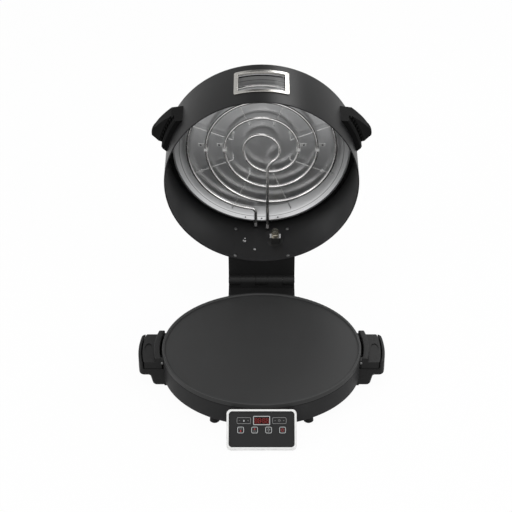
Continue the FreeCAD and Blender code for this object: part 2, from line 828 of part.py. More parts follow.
def build_base_handles():
    """Carrying handles on the base, shaped as cradles for the plate handles."""
    outline = [(0, cradle_floor_z), (cradle_out_x, cradle_floor_z), (cradle_out_x, cradle_bottom_z),
               (bracket_top_x, cradle_bottom_z), (bracket_low_x, bracket_low_z), (0, bracket_low_z)]
    body = prism_y(outline, cradle_half_y)
    corners = [e for e in body.Edges if e.BoundBox.YLength > cradle_half_y
               and body_r < e.CenterOfMass.x < cradle_out_x - 1 and e.CenterOfMass.z < cradle_floor_z - 1]
    toe = [e for e in corners if e.CenterOfMass.z < cradle_bottom_z - 1]
    body = body.makeFillet(bracket_toe_r, toe)
    neck = [e for e in body.Edges if e.BoundBox.YLength > cradle_half_y
            and abs(e.CenterOfMass.x - bracket_top_x) < 1 and abs(e.CenterOfMass.z - cradle_bottom_z) < 1]
    body = body.makeFillet(bracket_round_r, neck)
    body.translate(V(0, handle_mid_y, 0))
    plan = bowed_plan(cradle_out_x, cradle_half_y, cradle_corner_r, bracket_low_z, plate_handle_top_z)
    groove_x = plate_handle_out_x + cradle_groove
    groove = bowed_plan(groove_x, 1.2 * cradle_half_y, plate_handle_corner_r, cradle_floor_z - 1, rim_z)
    above = block(0, body_r * 2, -body_r, body_r, cradle_floor_z - 1, rim_z)
    body = fuse([body.common(plan), plan.common(above).cut(groove)])
    low_rim = [e for e in edges_at_z(body, cradle_bottom_z) if lies_outside(e, groove_x - cradle_corner_r)]
    body = body.makeFillet(bracket_round_r, low_rim)
    top_rim = edges_at_z(body, plate_handle_top_z)
    body = body.makeFillet(cradle_edge_r, [e for e in top_rim if e.Length > cradle_half_y])
    body = body.cut(Part.makeCylinder(body_r + touch_gap / 3, rim_z * 3, V(0, 0, -rim_z)))
    screws = []
    for point, heading in cradle_seats():
        body = body.cut(rod(screw_r + screw_gap, point, heading, cradle_screw_reach + 1))
        screws.append(screw(point, heading, cradle_screw_reach))
    keep("right_base_handle", body)
    keep("left_base_handle", mirrored(body))
    keep("base_handle_screws", group(screws + [mirrored(s) for s in screws]))


def lies_outside(edge, x):
    """Whether an edge lies wholly beyond a place to the right."""
    return edge.BoundBox.XMin > x


def hinge_seats():
    """Screw seats of the base hinge bracket on the inside of the housing wall."""
    places = (base_screw_x, -base_screw_x, base_screw_x / 3, -base_screw_x / 3)
    return [wall_seat(body_r - housing_wall, x, base_screw_z) for x in places]


def hinge_holes():
    """Holes in the rear of the housing wall for the hinge bracket screws."""
    return [through_hole(seat) for seat in hinge_seats()]


def hinge_cylinder(radius, x_low, x_high):
    """Round bar on the hinge axis."""
    return rod(radius, V(x_low, hinge_y, hinge_z), X_AXIS, x_high - x_low)


def lid_spans():
    """Stretches of the hinge barrel that belong to the lid."""
    half = knuckle_gap / 2
    return [(-barrel_half_x, -knuckle_outer_x - half), (-knuckle_inner_x + half, knuckle_inner_x - half),
            (knuckle_outer_x + half, barrel_half_x)]


def base_spans():
    """Stretches of the hinge barrel that belong to the base."""
    half = knuckle_gap / 2
    right = (knuckle_inner_x + half, knuckle_outer_x - half)
    return [right, (-right[1], -right[0])]


def build_hinge():
    """Base bracket with two knuckles and the open stop, lid bracket with three knuckles, and the pin."""
    drop = barrel_r + touch_gap
    stop_turn = math.radians(90 - lid_open_deg)
    stop_rise = (base_bracket_rear_y - hinge_y) * math.tan(stop_turn)
    low_z = hinge_z - drop / math.cos(stop_turn)
    wall_y = body_r * 0.9
    front_z = min(low_z, base_top_z - touch_gap)
    stop_z = low_z + stop_rise
    outline = [(wall_y, base_bracket_low_z), (hinge_y - base_bracket_toe, base_bracket_low_z),
               (base_bracket_rear_y, stop_z - base_bracket_toe), (base_bracket_rear_y, stop_z),
               (hinge_y, low_z), (hinge_y - barrel_r, front_z), (wall_y, front_z)]
    body = prism_x(outline, bracket_half_x)
    upright = [e for e in body.Edges if e.BoundBox.ZLength > 5 and e.BoundBox.YMin > base_bracket_rear_y - 1]
    body = body.makeFillet(4.0, upright)
    wall = base_bracket_wall
    pocket_z = base_bracket_low_z + wall
    pocket = prism_x([(wall_y - 1, pocket_z), (hinge_y - base_bracket_toe - wall, pocket_z),
                      (hinge_y, front_z - 2 * wall), (hinge_y, front_z - wall), (wall_y - 1, front_z - wall)],
                     bracket_half_x - wall)
    bosses = [wall_boss(seat, base_bracket_rear_y).common(body) for seat in hinge_seats()]
    body = fuse([body.cut(pocket)] + bosses)
    body = body.cut(Part.makeCylinder(body_r + touch_gap / 3, rim_z * 2))
    posts = []
    for low, high in base_spans():
        neck = block(low, high, hinge_y - barrel_r, hinge_y + pin_r / 2, front_z - pin_r, hinge_z)
        posts.append(fuse([neck, hinge_cylinder(barrel_r, low, high)]))
    room_r = barrel_r + knuckle_gap
    lip = block(-barrel_half_x, barrel_half_x, hinge_y - barrel_r, hinge_y, front_z - pin_r,
                hinge_z - hinge_lip_drop)
    lip = cut(lip, [hinge_cylinder(room_r, a - knuckle_gap, b + knuckle_gap) for a, b in lid_spans()])
    pin_bore = hinge_cylinder(pin_r + running_gap / 2, -barrel_half_x, barrel_half_x)
    body = fuse([body, lip] + posts).cut(pin_bore)
    screws = []
    for point, heading in hinge_seats():
        body = body.cut(rod(screw_r + screw_gap, point, heading, base_screw_reach + 1))
        screws.append(screw(point, heading, base_screw_reach))
    keep("base_hinge_bracket", body)
    keep("base_bracket_screws", group(screws))

    pin_half = barrel_half_x + touch_gap
    pin = hinge_cylinder(pin_r, -pin_half, pin_half)
    cap = hinge_cylinder(pin_r + pin_cap_over, pin_half, pin_half + pin_cap)
    keep("hinge_pin", fuse([pin, cap, mirrored(cap)]))

    low = lid_rim_z + lid_bracket_low_h
    high = lid_rim_z + lid_bracket_high_h
    back_y = hinge_y + barrel_r
    top_y = body_r + lid_bracket_top_depth
    outer = [(wall_y, low), (back_y, low), (back_y, lid_bracket_knee_z), (top_y, high), (wall_y, high)]
    shell = prism_x(outer, bracket_half_x)
    wall = lid_bracket_wall
    pocket = prism_x([(wall_y - 1, low + wall), (back_y - 2 * wall, low + wall),
                      (back_y - 2 * wall, lid_bracket_knee_z - wall), (top_y - wall, high - wall),
                      (wall_y - 1, high - wall)], bracket_half_x - wall)
    edge = [e for e in shell.Edges if e.BoundBox.XLength < 1e-4 and e.BoundBox.YMax > top_y - 1]
    shell = shell.makeFillet(wall * 0.6, [e for e in edge if e.BoundBox.ZLength > 1])
    knuckles = []
    for x_low, x_high in lid_spans():
        web = block(x_low, x_high, hinge_y, back_y, hinge_z, low + 2 * wall)
        knuckles.append(fuse([hinge_cylinder(barrel_r, x_low, x_high), web]))
    rooms = [hinge_cylinder(room_r, a - knuckle_gap, b + knuckle_gap) for a, b in base_spans()]
    shell = shell.cut(pocket)
    solid = prism_x(outer, bracket_half_x)
    bosses = [wall_boss(seat, base_bracket_rear_y).common(solid) for seat in lid_bracket_seats()]
    shell = fuse([shell] + bosses)
    shell = shell.cut(Part.makeCylinder(body_r + touch_gap / 3, lid_rim_z + lid_depth))
    cap_room = hinge_cylinder(pin_r + pin_cap_over + touch_gap, barrel_half_x, body_r)
    bore = hinge_cylinder(pin_r + running_gap, -body_r, body_r)
    shell = cut(fuse([cut(shell, rooms)] + knuckles), [bore, cap_room, mirrored(cap_room)])
    lid_screws = []
    for point, heading in lid_bracket_seats():
        shell = shell.cut(rod(screw_r + screw_gap, point, heading, lid_screw_reach + 0.5))
        lid_screws.append(screw(point, heading, lid_screw_reach))
    keep_lid("lid_hinge_bracket", shell)
    keep_lid("lid_bracket_screws", group(lid_screws))


def lid_bracket_seats():
    """Screw seats of the lid bracket on the inside of the drum wall."""
    spots = [(side * lid_screw_x, h) for side in (1, -1) for h in (lid_screw_low_h, lid_screw_high_h)]
    return [wall_seat(lid_inner_r, x, lid_rim_z + h) for x, h in spots]


def panel_seats():
    """Screw seats of the panel housing on the inside of the front housing wall."""
    return [wall_seat(body_r - housing_wall, side * housing_screw_x, housing_screw_z, -1) for side in (1, -1)]


def panel_holes():
    """Holes in the front of the housing wall for the panel housing screws."""
    return [through_hole(seat) for seat in panel_seats()]


def key_points():
    """Middle of each push key on the panel face, from left to right."""
    return {"lower_heat_key": -key_outer_x, "upper_heat_key": -key_inner_x, "lamp_key": key_inner_x,
            "power_key": key_outer_x}


def build_panel():
    """Sloped control box with its frame, face, keys, rockers, display, board and switches."""
    frame = rounded_plate(panel_width, panel_height, panel_corner_r, -panel_depth, 0)
    frame = frame.makeFillet(panel_edge_r, edges_at_z(frame, 0))
    opening = rounded_plate(face_width, face_height, face_corner_r, -panel_depth - 1, 1)
    ledge_width = face_width - 2 * panel_ledge
    ledge_height = face_height - 2 * panel_ledge
    ledge = rounded_plate(ledge_width, ledge_height, face_corner_r - panel_ledge, -panel_depth - 1, 1)
    above = opening.common(block(-panel_width, panel_width, -panel_height, panel_height, face_back, 2))
    keep_panel("panel_frame", cut(frame, [above, ledge]))
    nodes["panel_frame"] = nodes["panel_frame"].cut(Part.makeCylinder(body_r + touch_gap, rim_z * 2))

    fit = 2 * touch_gap / 3
    face_round = face_corner_r - fit / 2
    face = rounded_plate(face_width - fit, face_height - fit, face_round, face_back, -face_recess)
    posts = []
    pilots = []
    spots = [(sx * post_x, sy * post_y) for sx in (1, -1) for sy in (1, -1)]
    for x, y in spots:
        posts.append(rod(post_r, V(x, y, face_back), -Z_AXIS, board_drop + face_back))
        pilots.append(rod(panel_screw_r + screw_gap, V(x, y, board_top - 1), Z_AXIS, 5.5))
    wells = []
    for x in key_points().values():
        wells.append(rounded_plate(key_size + 2 * key_gap, key_size + 2 * key_gap, key_corner_r + key_gap,
                                   face_back - 1, 1, (x, key_row_y)))
    lugs = []
    for s in (1, -1):
        wells.append(rounded_plate(rocker_length + 2 * key_gap, key_size + 2 * key_gap, key_corner_r + key_gap,
                                   face_back - 1, 1, (s * rocker_x, rocker_row_y)))
        for e in (1, -1):
            y = rocker_row_y + e * (key_size / 2 + key_gap)
            y_end = y + e * rocker_pivot_reach
            lugs.append(block(s * rocker_x - rocker_lug, s * rocker_x + rocker_lug, min(y, y_end),
                              max(y, y_end), rocker_axis_z() - rocker_lug, face_back))
        axle = V(s * rocker_x, rocker_row_y - key_size, rocker_axis_z())
        pilots.append(rod(rocker_pivot_r + running_gap, axle, Y_AXIS, 2 * key_size))
    wells.append(rounded_plate(display_width + fit, display_height + fit, lens_corner_r + fit / 2,
                               face_back - 1, 1, (0, display_row_y)))
    keep_panel("panel_face", cut(cut(fuse([face] + posts + lugs), wells), pilots))

    middle = (0, display_row_y)
    lens = rounded_plate(display_width, display_height, lens_corner_r, lens_back, -face_recess, middle)
    keep_panel("display_lens", lens)
    module_top = lens_back - touch_gap
    module = rounded_plate(display_width - 2, display_height - 1, lens_corner_r, board_top, module_top, middle)
    keep_panel("display_module", module)

    board = rounded_plate(board_width, board_height, 2.0, board_top - board_thick, board_top)
    keep_panel("control_board", cut(board, [rod(panel_screw_r + screw_gap, V(x, y, board_top - 5), Z_AXIS, 10)
                                            for x, y in spots]))
    key_bottom = board_top + switch_body_h + key_travel + 0.6
    plunger_top = key_bottom - key_travel - switch_gap
    switches = []
    pressed = [(x, key_row_y) for x in key_points().values()]
    rocker_ends = [(s * rocker_x + e * rocker_arm, rocker_row_y) for s in (1, -1) for e in (1, -1)]
    for x, y in pressed + rocker_ends:
        half = switch_body / 2
        body = block(x - half, x + half, y - half, y + half, board_top, board_top + switch_body_h)
        plunger = rod(switch_plunger_r, V(x, y, board_top), Z_AXIS, plunger_top - board_top)
        switches.append(fuse([body, plunger]))
    keep_panel("tact_switches", group(switches))
    for name, x in key_points().items():
        keep_panel(name, push_key(x, key_bottom))
    for name, side in (("temperature_rocker", -1), ("timer_rocker", 1)):
        keep_panel(name, rocker_key(side * rocker_x, plunger_top + rocker_dip() + switch_gap))

    board_screws = []
    for x, y in spots:
        board_screws.append(screw(V(x, y, board_top - board_thick), Z_AXIS, board_thick + 4, panel_screw_r,
                                  panel_screw_head_r, panel_screw_head_h))
    laid = group(board_screws)
    laid.Placement = FreeCAD.Placement(V(0, panel_centre_y, panel_centre_z), panel_turn)
    wall_screws = [screw(point, heading, housing_screw_length) for point, heading in panel_seats()]
    keep("panel_screws", group(laid.Solids + wall_screws))
    build_panel_housing()


def rocker_axis_z():
    """Depth of the rocker's pivot below the panel frame's front."""
    return face_back - rocker_pivot_r - 0.6


def rocker_dip():
    """How far the end of a tilted rocker's stem goes down."""
    return (rocker_arm + switch_plunger_r) * math.sin(math.radians(rocker_tilt_deg))


def push_key(x, bottom):
    """Push key with a retaining flange behind the face and a stem over its switch."""
    top = -face_recess + key_proud
    cap = rounded_plate(key_size, key_size, key_corner_r, face_back - 0.1 - key_flange, top, (x, key_row_y))
    cap = cap.makeChamfer(key_edge, edges_at_z(cap, top))
    wide = key_size + 2 * key_flange_over
    flange_top = face_back - 0.1
    flange = rounded_plate(wide, wide, key_corner_r, flange_top - key_flange, flange_top, (x, key_row_y))
    stem = rod(switch_plunger_r, V(x, key_row_y, bottom), Z_AXIS, flange_top - bottom)
    return fuse([cap, flange, stem])


def rocker_key(x, bottom):
    """Two-way rocker with pivots at its middle and a stem over a switch at each end."""
    top = -face_recess + key_proud
    low = face_back - 0.2
    cap = rounded_plate(rocker_length, key_size, key_corner_r, low, top, (x, rocker_row_y))
    cap = cap.makeChamfer(key_edge, edges_at_z(cap, top))
    axis_z = rocker_axis_z()
    reach = key_size / 2 + key_gap + rocker_pivot_reach
    pivot = rod(rocker_pivot_r, V(x, rocker_row_y - reach, axis_z), Y_AXIS, 2 * reach)
    half_web = key_size / 2 - 0.5
    web = block(x - rocker_lug, x + rocker_lug, rocker_row_y - half_web, rocker_row_y + half_web,
                axis_z - rocker_pivot_r - 0.4, low + 0.5)
    stems = [rod(switch_plunger_r, V(x + s * rocker_arm, rocker_row_y, bottom), Z_AXIS, low + 0.5 - bottom)
             for s in (1, -1)]
    return fuse([cap, web, pivot] + stems)


def build_panel_housing():
    """Wedge-shaped box that carries the sloped panel on the front of the base."""
    up = panel_turn.multVec(Y_AXIS)
    out = panel_turn.multVec(Z_AXIS)
    middle = V(0, panel_centre_y, panel_centre_z) - out * panel_depth
    reach = panel_height / 2 - panel_border * 0.5
    top = middle + up * reach
    low = middle - up * reach
    rear_y = -body_r * 0.9
    top_z = min(top.z, base_top_z - touch_gap)
    front_floor_z = min(panel_housing_floor_z - panel_housing_step, low.z - panel_housing_lip)
    outline = [(rear_y, top_z), (top.y, top_z), (top.y, top.z), (low.y, low.z),
               (low.y + 2, front_floor_z), (rear_y, panel_housing_floor_z)]
    body = prism_x(outline, panel_housing_half_x)
    wall = panel_housing_wall
    pocket_reach = reach - wall
    pocket_top = middle + up * pocket_reach
    pocket_low = middle - up * pocket_reach
    ahead = out * 2
    mouth_top = pocket_top + ahead
    mouth_low = pocket_low + ahead
    back_y = -body_r - 2 * wall
    inner = [(mouth_top.y, mouth_top.z), (mouth_low.y, mouth_low.z), (pocket_low.y, pocket_low.z),
             (pocket_low.y + 6, front_floor_z + panel_housing_step), (back_y, panel_housing_floor_z + wall),
             (back_y, pocket_top.z - 3 * wall), (pocket_top.y, pocket_top.z)]
    body = body.cut(prism_x(inner, panel_housing_half_x - wall))
    body = body.cut(Part.makeCylinder(body_r + touch_gap / 3, rim_z * 2))
    outside_wall = Part.makeCylinder(body_r + touch_gap / 3, rim_z * 2)
    inside = prism_x(outline, panel_housing_half_x)
    bosses = []
    holes = []
    for point, heading in panel_seats():
        boss = wall_boss((point, heading), 2 * housing_screw_length)
        bosses.append(boss.cut(outside_wall).common(inside))
        holes.append(rod(screw_r + screw_gap, point, heading, housing_screw_length + 1))
    keep("panel_housing", cut(fuse([body] + bosses), holes))


def gland_hole():
    """Hole in the rear of the housing wall for the cord inlet."""
    heading = polar(1, gland_angle_deg)
    return rod(gland_r + screw_gap, heading * (body_r - 10) + V(0, 0, gland_z), heading, 20)


def build_power():
    """Power board, terminal block and cord inlet inside the base."""
    floor = base_bottom_z
    board_z = floor + power_board_rise
    board = block(-power_board_x / 2, power_board_x / 2, power_board_centre_y - power_board_y / 2,
                  power_board_centre_y + power_board_y / 2, board_z, board_z + board_thick)
    foot_x = power_board_x / 2 - 2 * post_r
    foot_y = power_board_y / 2 - 2 * post_r
    feet = [rod(post_r, V(sx * foot_x, power_board_centre_y + sy * foot_y, floor), Z_AXIS, power_board_rise)
            for sx in (1, -1) for sy in (1, -1)]
    top = board_z + board_thick
    relays = [block(x, x + 16, power_board_centre_y - 18, power_board_centre_y - 2, top, top + power_part_h)
              for x in (-32.0, -12.0)]
    coil = block(10, 32, power_board_centre_y - 18, power_board_centre_y, top, top + power_part_h * 0.8)
    drums = [rod(5.0, V(x, power_board_centre_y + 12, top), Z_AXIS, power_part_h) for x in (-24.0, -8.0)]
    keep("power_board", fuse([board] + feet + relays + [coil] + drums))

    terminal = block(-terminal_x / 2, terminal_x / 2, terminal_centre_y - terminal_y / 2,
                     terminal_centre_y + terminal_y / 2, floor, floor + terminal_h)
    well_z = floor + terminal_h / 2
    wells = [rod(post_r, V(x, terminal_centre_y, well_z), Z_AXIS, terminal_h)
             for x in (-terminal_x / 3, 0.0, terminal_x / 3)]
    keep("terminal_block", cut(terminal, wells))

    heading = polar(1, gland_angle_deg)
    seat = heading * body_r + V(0, 0, gland_z)
    barrel = rod(gland_r, seat - heading * gland_reach, heading, gland_reach + gland_flange)
    flange = rod(gland_flange_r, seat, heading, gland_flange)
    curved = Part.makeCylinder(body_r + touch_gap / 3, rim_z * 2)
    bore = rod(gland_bore_r, seat - heading * 30, heading, 60)
    keep("cord_gland", fuse([barrel, flange.cut(curved)]).cut(bore))


def build_lid_shell():
    """Drum with its hem and rear flange, cover, dish, stand-offs, insulation and limiter."""
    top = lid_rim_z + lid_depth
    back_in = body_r - lid_back_flange
    drum = spin([(body_r - hem_wall, lid_rim_z), (body_r, lid_rim_z), (body_r, top), (back_in, top),
                 (back_in, top - lid_wall), (lid_inner_r, top - lid_wall), (lid_inner_r, lid_rim_z + hem_h),
                 (body_r - hem_wall, lid_rim_z + hem_h)])
    outer_top = [e for e in edges_at_z(drum, top) if e.BoundBox.XMax > body_r - 0.1]
    drum = drum.makeFillet(lid_wall * 0.7, outer_top)
    hem_out = [e for e in edges_at_z(drum, lid_rim_z)]
    drum = drum.makeFillet(hem_wall * 0.4, hem_out)
    side = window_side_border - window_rebate - window_fit
    end = window_end_border - window_rebate - window_fit
    window_hole = window_prism(window_half_x - side, window_low_h + end, window_high_h - end, window_corner_r)
    holes = [window_hole.common(block(-body_r, body_r, -body_r * 2, -body_r / 2, 0, top))]
    holes += [through_hole(seat) for seat in lid_bracket_seats()]
    handle_holes = [through_hole(seat) for seat in lid_handle_seats()]
    holes += handle_holes + [mirrored(hole) for hole in handle_holes]
    holes.append(rod(lamp_hole_r, V(lamp_x, body_r * 0.8, lid_rim_z + lamp_h), Y_AXIS, body_r))
    holes += [rod(insulator_r + touch_gap / 3, V(s * leg_x, body_r * 0.8, leg_height(s)), Y_AXIS, body_r)
              for s in (1, -1)]
    holes += [through_hole(wall_seat(lid_inner_r, x, lid_rim_z + h)) for x, h in stud_places]
    keep_lid("lid_drum", cut(drum, holes))

    cover_out = body_r - cover_lip
    step_top = top + cover_step_h
    wall = lid_wall
    cover = spin([(0, step_top - wall), (cover_step_r - wall, step_top - wall), (cover_step_r, top),
                  (cover_out, top), (cover_out, top + wall), (cover_step_r + wall, top + wall),
                  (cover_step_r, step_top), (0, step_top)])
    keep_lid("lid_top_cover", cover)

    floor = lid_rim_z + dish_floor_h
    edge = lid_rim_z + dish_edge_h
    t = dish_wall
    dish = spin([(0, floor), (dish_floor_r, floor), (dish_slope_r, edge), (dish_edge_r, edge),
                 (dish_edge_r, edge + t), (dish_slope_r + t / 2, edge + t),
                 (dish_floor_r + t / 2, floor + t), (0, floor + t)])
    holes = []
    for x in (-dish_hole_x, 0.0, dish_hole_x):
        spot = V(x, math.sqrt(dish_hole_circle_r ** 2 - x * x), edge - 2)
        holes.append(rod(dish_hole_r, spot, Z_AXIS, 6))
    holes += [rod(screw_r + screw_gap, V(p.x, p.y, floor - 1), Z_AXIS, 4) for p in dish_screw_spots()]
    keep_lid("reflector_dish", cut(dish, holes))

    posts = []
    for p in dish_screw_spots():
        post = rod(standoff_r, V(p.x, p.y, floor + t), Z_AXIS, step_top - wall - floor - t)
        posts.append(post.cut(rod(screw_r + screw_gap, V(p.x, p.y, floor), Z_AXIS, 12)))
    keep_lid("dish_standoffs", group(posts))
    keep_lid("dish_screws", group([screw(V(p.x, p.y, floor), Z_AXIS, 10) for p in dish_screw_spots()]))

    pad = Part.makeCylinder(pad_r, pad_thick, V(0, 0, floor + t + touch_gap))
    rooms = [rod(standoff_r + 1, V(p.x, p.y, floor), Z_AXIS, lid_depth) for p in dish_screw_spots()]
    rooms.append(rod(limiter_r + 4, V(limiter_x, limiter_y, floor), Z_AXIS, lid_depth))
    keep_lid("insulation_pad", cut(pad, rooms))
    limiter = fuse([rod(limiter_r, V(limiter_x, limiter_y, floor + t), Z_AXIS, limiter_h * 0.4),
                    rod(limiter_r * 0.8, V(limiter_x, limiter_y, floor + t), Z_AXIS, limiter_h)])
    keep_lid("thermal_limiter", limiter)


def dish_screw_spots():
    """Places of the four dish screws in plan."""
    spots = [polar(dish_screw_circle_r, dish_screw_deg), polar(dish_low_screw_r, dish_low_screw_deg)]
    return [V(side * p.x, p.y, 0) for p in spots for side in (1, -1)]


def leg_height(side):
    """Height of an element leg in the lid: the right leg crosses the turns on the food side."""
    return lid_rim_z + upper_element_h - (upper_leg_rise if side > 0 else 0.0)


def build_upper_heat():
    """Upper element with its radial wires, clips, rivets and terminal insulators."""
    z = lid_rim_z + upper_element_h
    leg_end = math.sqrt(body_r ** 2 - leg_x ** 2) + insulator_tail - 2
    edges = spiral_edges(upper_first_r, upper_pitch, upper_turns, upper_centre_y, z, leg_end, upper_leg_rise,
                         upper_swan_length)
    print("upper element least gap", round(least_gap(edges), 2))
    keep_lid("upper_heating_element", pipe(edges, tube_r))

    floor = lid_rim_z + dish_floor_h
    run_z = z + tube_r + wire_r + touch_gap
    wires = []
    for i in range(wire_count):
        turn = (i + 0.5) * 360.0 / wire_count
        wires.append(support_wire(turn, run_z, floor - touch_gap))
    keep_lid("element_support_wires", group(wires))

    clips = []
    rivets = []
    for side in (1, -1):
        for ring in (1, 2):
            x = upper_first_r + upper_pitch * ring
            clip, rivet = element_clip(x, z, floor)
            clips.append(clip if side > 0 else mirrored(clip))
            rivets.append(rivet if side > 0 else mirrored(rivet))
    keep_lid("element_clips", group(clips))
    keep_lid("clip_rivets", group(rivets))

    collars = []
    for side in (1, -1):
        wall_y = math.sqrt(body_r ** 2 - leg_x ** 2)
        start = V(side * leg_x, wall_y - insulator_reach, leg_height(side))
        collar = rod(insulator_r, start, Y_AXIS, insulator_reach + insulator_tail)
        collars.append(collar.cut(rod(tube_r + screw_gap, start - Y_AXIS, Y_AXIS, body_r)))
    keep_lid("terminal_insulators", group(collars))


def support_wire(turn, run_z, foot_z):
    """Round wire that stands on the dish floor, bends, and runs out behind the turns to the dish slope."""
    outward = polar(1, turn)
    up = V(0, 0, wire_bend_r)
    level = V(0, 0, run_z)
    slope = (dish_slope_r - dish_floor_r) / (dish_floor_h - dish_edge_h)
    end_r = dish_slope_r - (run_z + wire_r - lid_rim_z - dish_edge_h) * slope - touch_gap
    corner = outward * wire_inner_r + level
    bend_in = corner + up
    bend_out = corner + outward * wire_bend_r
    bend_mid = corner + (outward * wire_bend_r + up) * (1 - math.sqrt(0.5))
    edges = [Part.LineSegment(outward * wire_inner_r + V(0, 0, foot_z), bend_in).toShape(),
             arc(bend_in, bend_mid, bend_out),
             Part.LineSegment(bend_out, outward * end_r + level).toShape()]
    return pipe(edges, wire_r)


def element_clip(x, z, floor):
    """Strap over one turn of the element with its foot riveted to the dish, and the rivet."""
    gap = tube_r + touch_gap
    t = clip_sheet
    outline = [(x - gap - t, z + gap), (x - gap - t, z - gap - t), (x + gap + t, z - gap - t),
               (x + gap + t, floor - t), (x + gap + clip_foot, floor - t), (x + gap + clip_foot, floor),
               (x + gap, floor), (x + gap, z - gap), (x - gap, z - gap), (x - gap, z + gap)]
    clip = prism_y(outline, clip_width / 2)
    clip.translate(V(0, upper_centre_y, 0))
    spot = V(x + gap + clip_foot * 0.6, upper_centre_y, floor - t)
    rivet = rod(rivet_r, spot, -Z_AXIS, rivet_h)
    crown = [e for e in edges_at_z(rivet, floor - t - rivet_h) if e.Length > rivet_r]
    return clip, rivet.makeChamfer(rivet_h * 0.4, crown)


def build_window():
    """Bright frame let into the front wall, its curved glass and the gasket that holds the glass."""
    half = block(-body_r, body_r, -body_r * 2, -body_r / 2, 0, lid_rim_z * 10)
    open_x = window_half_x - window_side_border
    open_low = window_low_h + window_end_border
    open_high = window_high_h - window_end_border
    reb = window_rebate
    flange = window_prism(window_half_x, window_low_h, window_high_h, window_corner_r).common(half)
    sleeve = window_prism(open_x + reb, open_low - reb, open_high + reb, window_corner_r).common(half)
    opening = window_prism(open_x, open_low, open_high, window_corner_r - reb).common(half)
    glass_r = body_r - window_front_lip
    inner_r = body_r - window_depth
    outer_ring = shell_patch(flange, body_r + touch_gap / 3, body_r + window_proud)
    lip_ring = shell_patch(sleeve, glass_r, body_r + window_proud)
    frame = cut(fuse([outer_ring, lip_ring]), [opening])
    rim = [e for e in frame.Edges if e.Length > 20 and lies_at_radius(e, body_r + window_proud)]
    keep_lid("window_frame", frame.makeFillet(window_proud * 0.4, rim))

    thin = touch_gap
    hold = reb - thin
    pane = window_prism(open_x + hold, open_low - hold, open_high + hold, window_corner_r - thin).common(half)
    glass_in = glass_r - glass_thick
    keep_lid("window_glass", shell_patch(pane, glass_in, glass_r))
    keep_lid("window_gasket", shell_patch(pane, inner_r, glass_in).cut(opening))


def lies_at_radius(edge, radius):
    """Whether both ends of an edge lie on a round wall of this radius."""
    return all(abs(math.hypot(v.X, v.Y) - radius) < 0.01 for v in edge.Vertexes)


def lid_handle_seats():
    """Screw seats of the right lid handle on the inside of the drum wall."""
    seats = []
    for degrees in handle_screw_degs:
        heading = polar(1, -degrees)
        seats.append((heading * (lid_inner_r - screw_gap) + V(0, 0, lid_rim_z + handle_screw_h), heading))
    return seats


def build_lid_handles():
    """Lifting handles on the drum: a wall pad, a flared grip over it and ribs for the fingers."""
    z = lid_rim_z
    wall_r = body_r + touch_gap / 3

    def at(r, h):
        return V(r, 0, z + h)

    pad_low = Part.makePolygon([at(wall_r, handle_low_h), at(handle_pad_r - 3, handle_low_h),
                                at(handle_pad_r, handle_low_h + 4), at(handle_pad_r, handle_ledge_h),
                                at(handle_pad_r + 7, handle_ledge_h)])
    flare = arc(at(handle_pad_r + 7, handle_ledge_h), at(handle_pad_r + 15, handle_ledge_h + 8),
                at(handle_out_r, handle_flare_h))
    nose_h = (handle_flare_h + handle_high_h) / 2 + 1
    nose = arc(at(handle_out_r, handle_flare_h), at(handle_out_r - 1, nose_h),
               at(handle_out_r - 9, handle_high_h - 1))
    crown = Part.makePolygon([at(handle_out_r - 9, handle_high_h - 1), at(wall_r, handle_high_h),
                              at(wall_r, handle_low_h)])
    profile = Part.Face(Part.Wire(pad_low.Edges + [flare, nose] + crown.Edges))
    sweep = handle_front_deg - handle_rear_deg
    profile.rotate(V(0, 0, 0), Z_AXIS, -handle_front_deg - 2)
    body = profile.revolve(V(0, 0, 0), Z_AXIS, sweep + 4)
    top = z + handle_high_h + 10
    ends = [polar(body_r - 5, -handle_rear_deg + 1, z), polar(handle_pad_r + 0.5, -handle_rear_deg - 2, z),
            polar(handle_out_r - 3, -handle_rear_deg - 2.3, z)]
    nose_in = [polar(handle_pad_r + 5.5, -handle_front_deg + 4.3, z),
               polar(body_r - 5, -handle_front_deg - 1.4, z)]
    shoulder = polar(handle_out_r - 4.3, -handle_rear_deg - 7.7, z)
    bulge = polar(handle_out_r - 0.2, -handle_rear_deg - 5.2, z)
    flank = polar(handle_out_r - 12.5, -handle_rear_deg - 14.1, z)
    plan = Part.Face(Part.Wire([arc(ends[2], bulge, shoulder), arc(shoulder, flank, nose_in[0])]
                               + Part.makePolygon(nose_in + ends).Edges))
    body = body.common(plan.extrude(V(0, 0, top - z)))
    ribs = []
    span = sweep - 8.3
    for i in range(handle_rib_count):
        degrees = handle_rear_deg + 4.2 + span * i / (handle_rib_count - 1)
        foot = polar(handle_pad_r + handle_rib_r * 1.6, -degrees, z + handle_ledge_h - handle_rib_drop)
        ribs.append(rod(handle_rib_r, foot, Z_AXIS, handle_rib_drop + touch_gap))
    body = fuse([body] + ribs)
    screws = []
    for point, heading in lid_handle_seats():
        body = body.cut(rod(screw_r + screw_gap, point, heading, handle_screw_reach + 1))
        screws.append(screw(point, heading, handle_screw_reach))
    keep_lid("right_lid_handle", body)
    keep_lid("left_lid_handle", mirrored(body))
    keep_lid("lid_handle_screws", group(screws + [mirrored(s) for s in screws]))


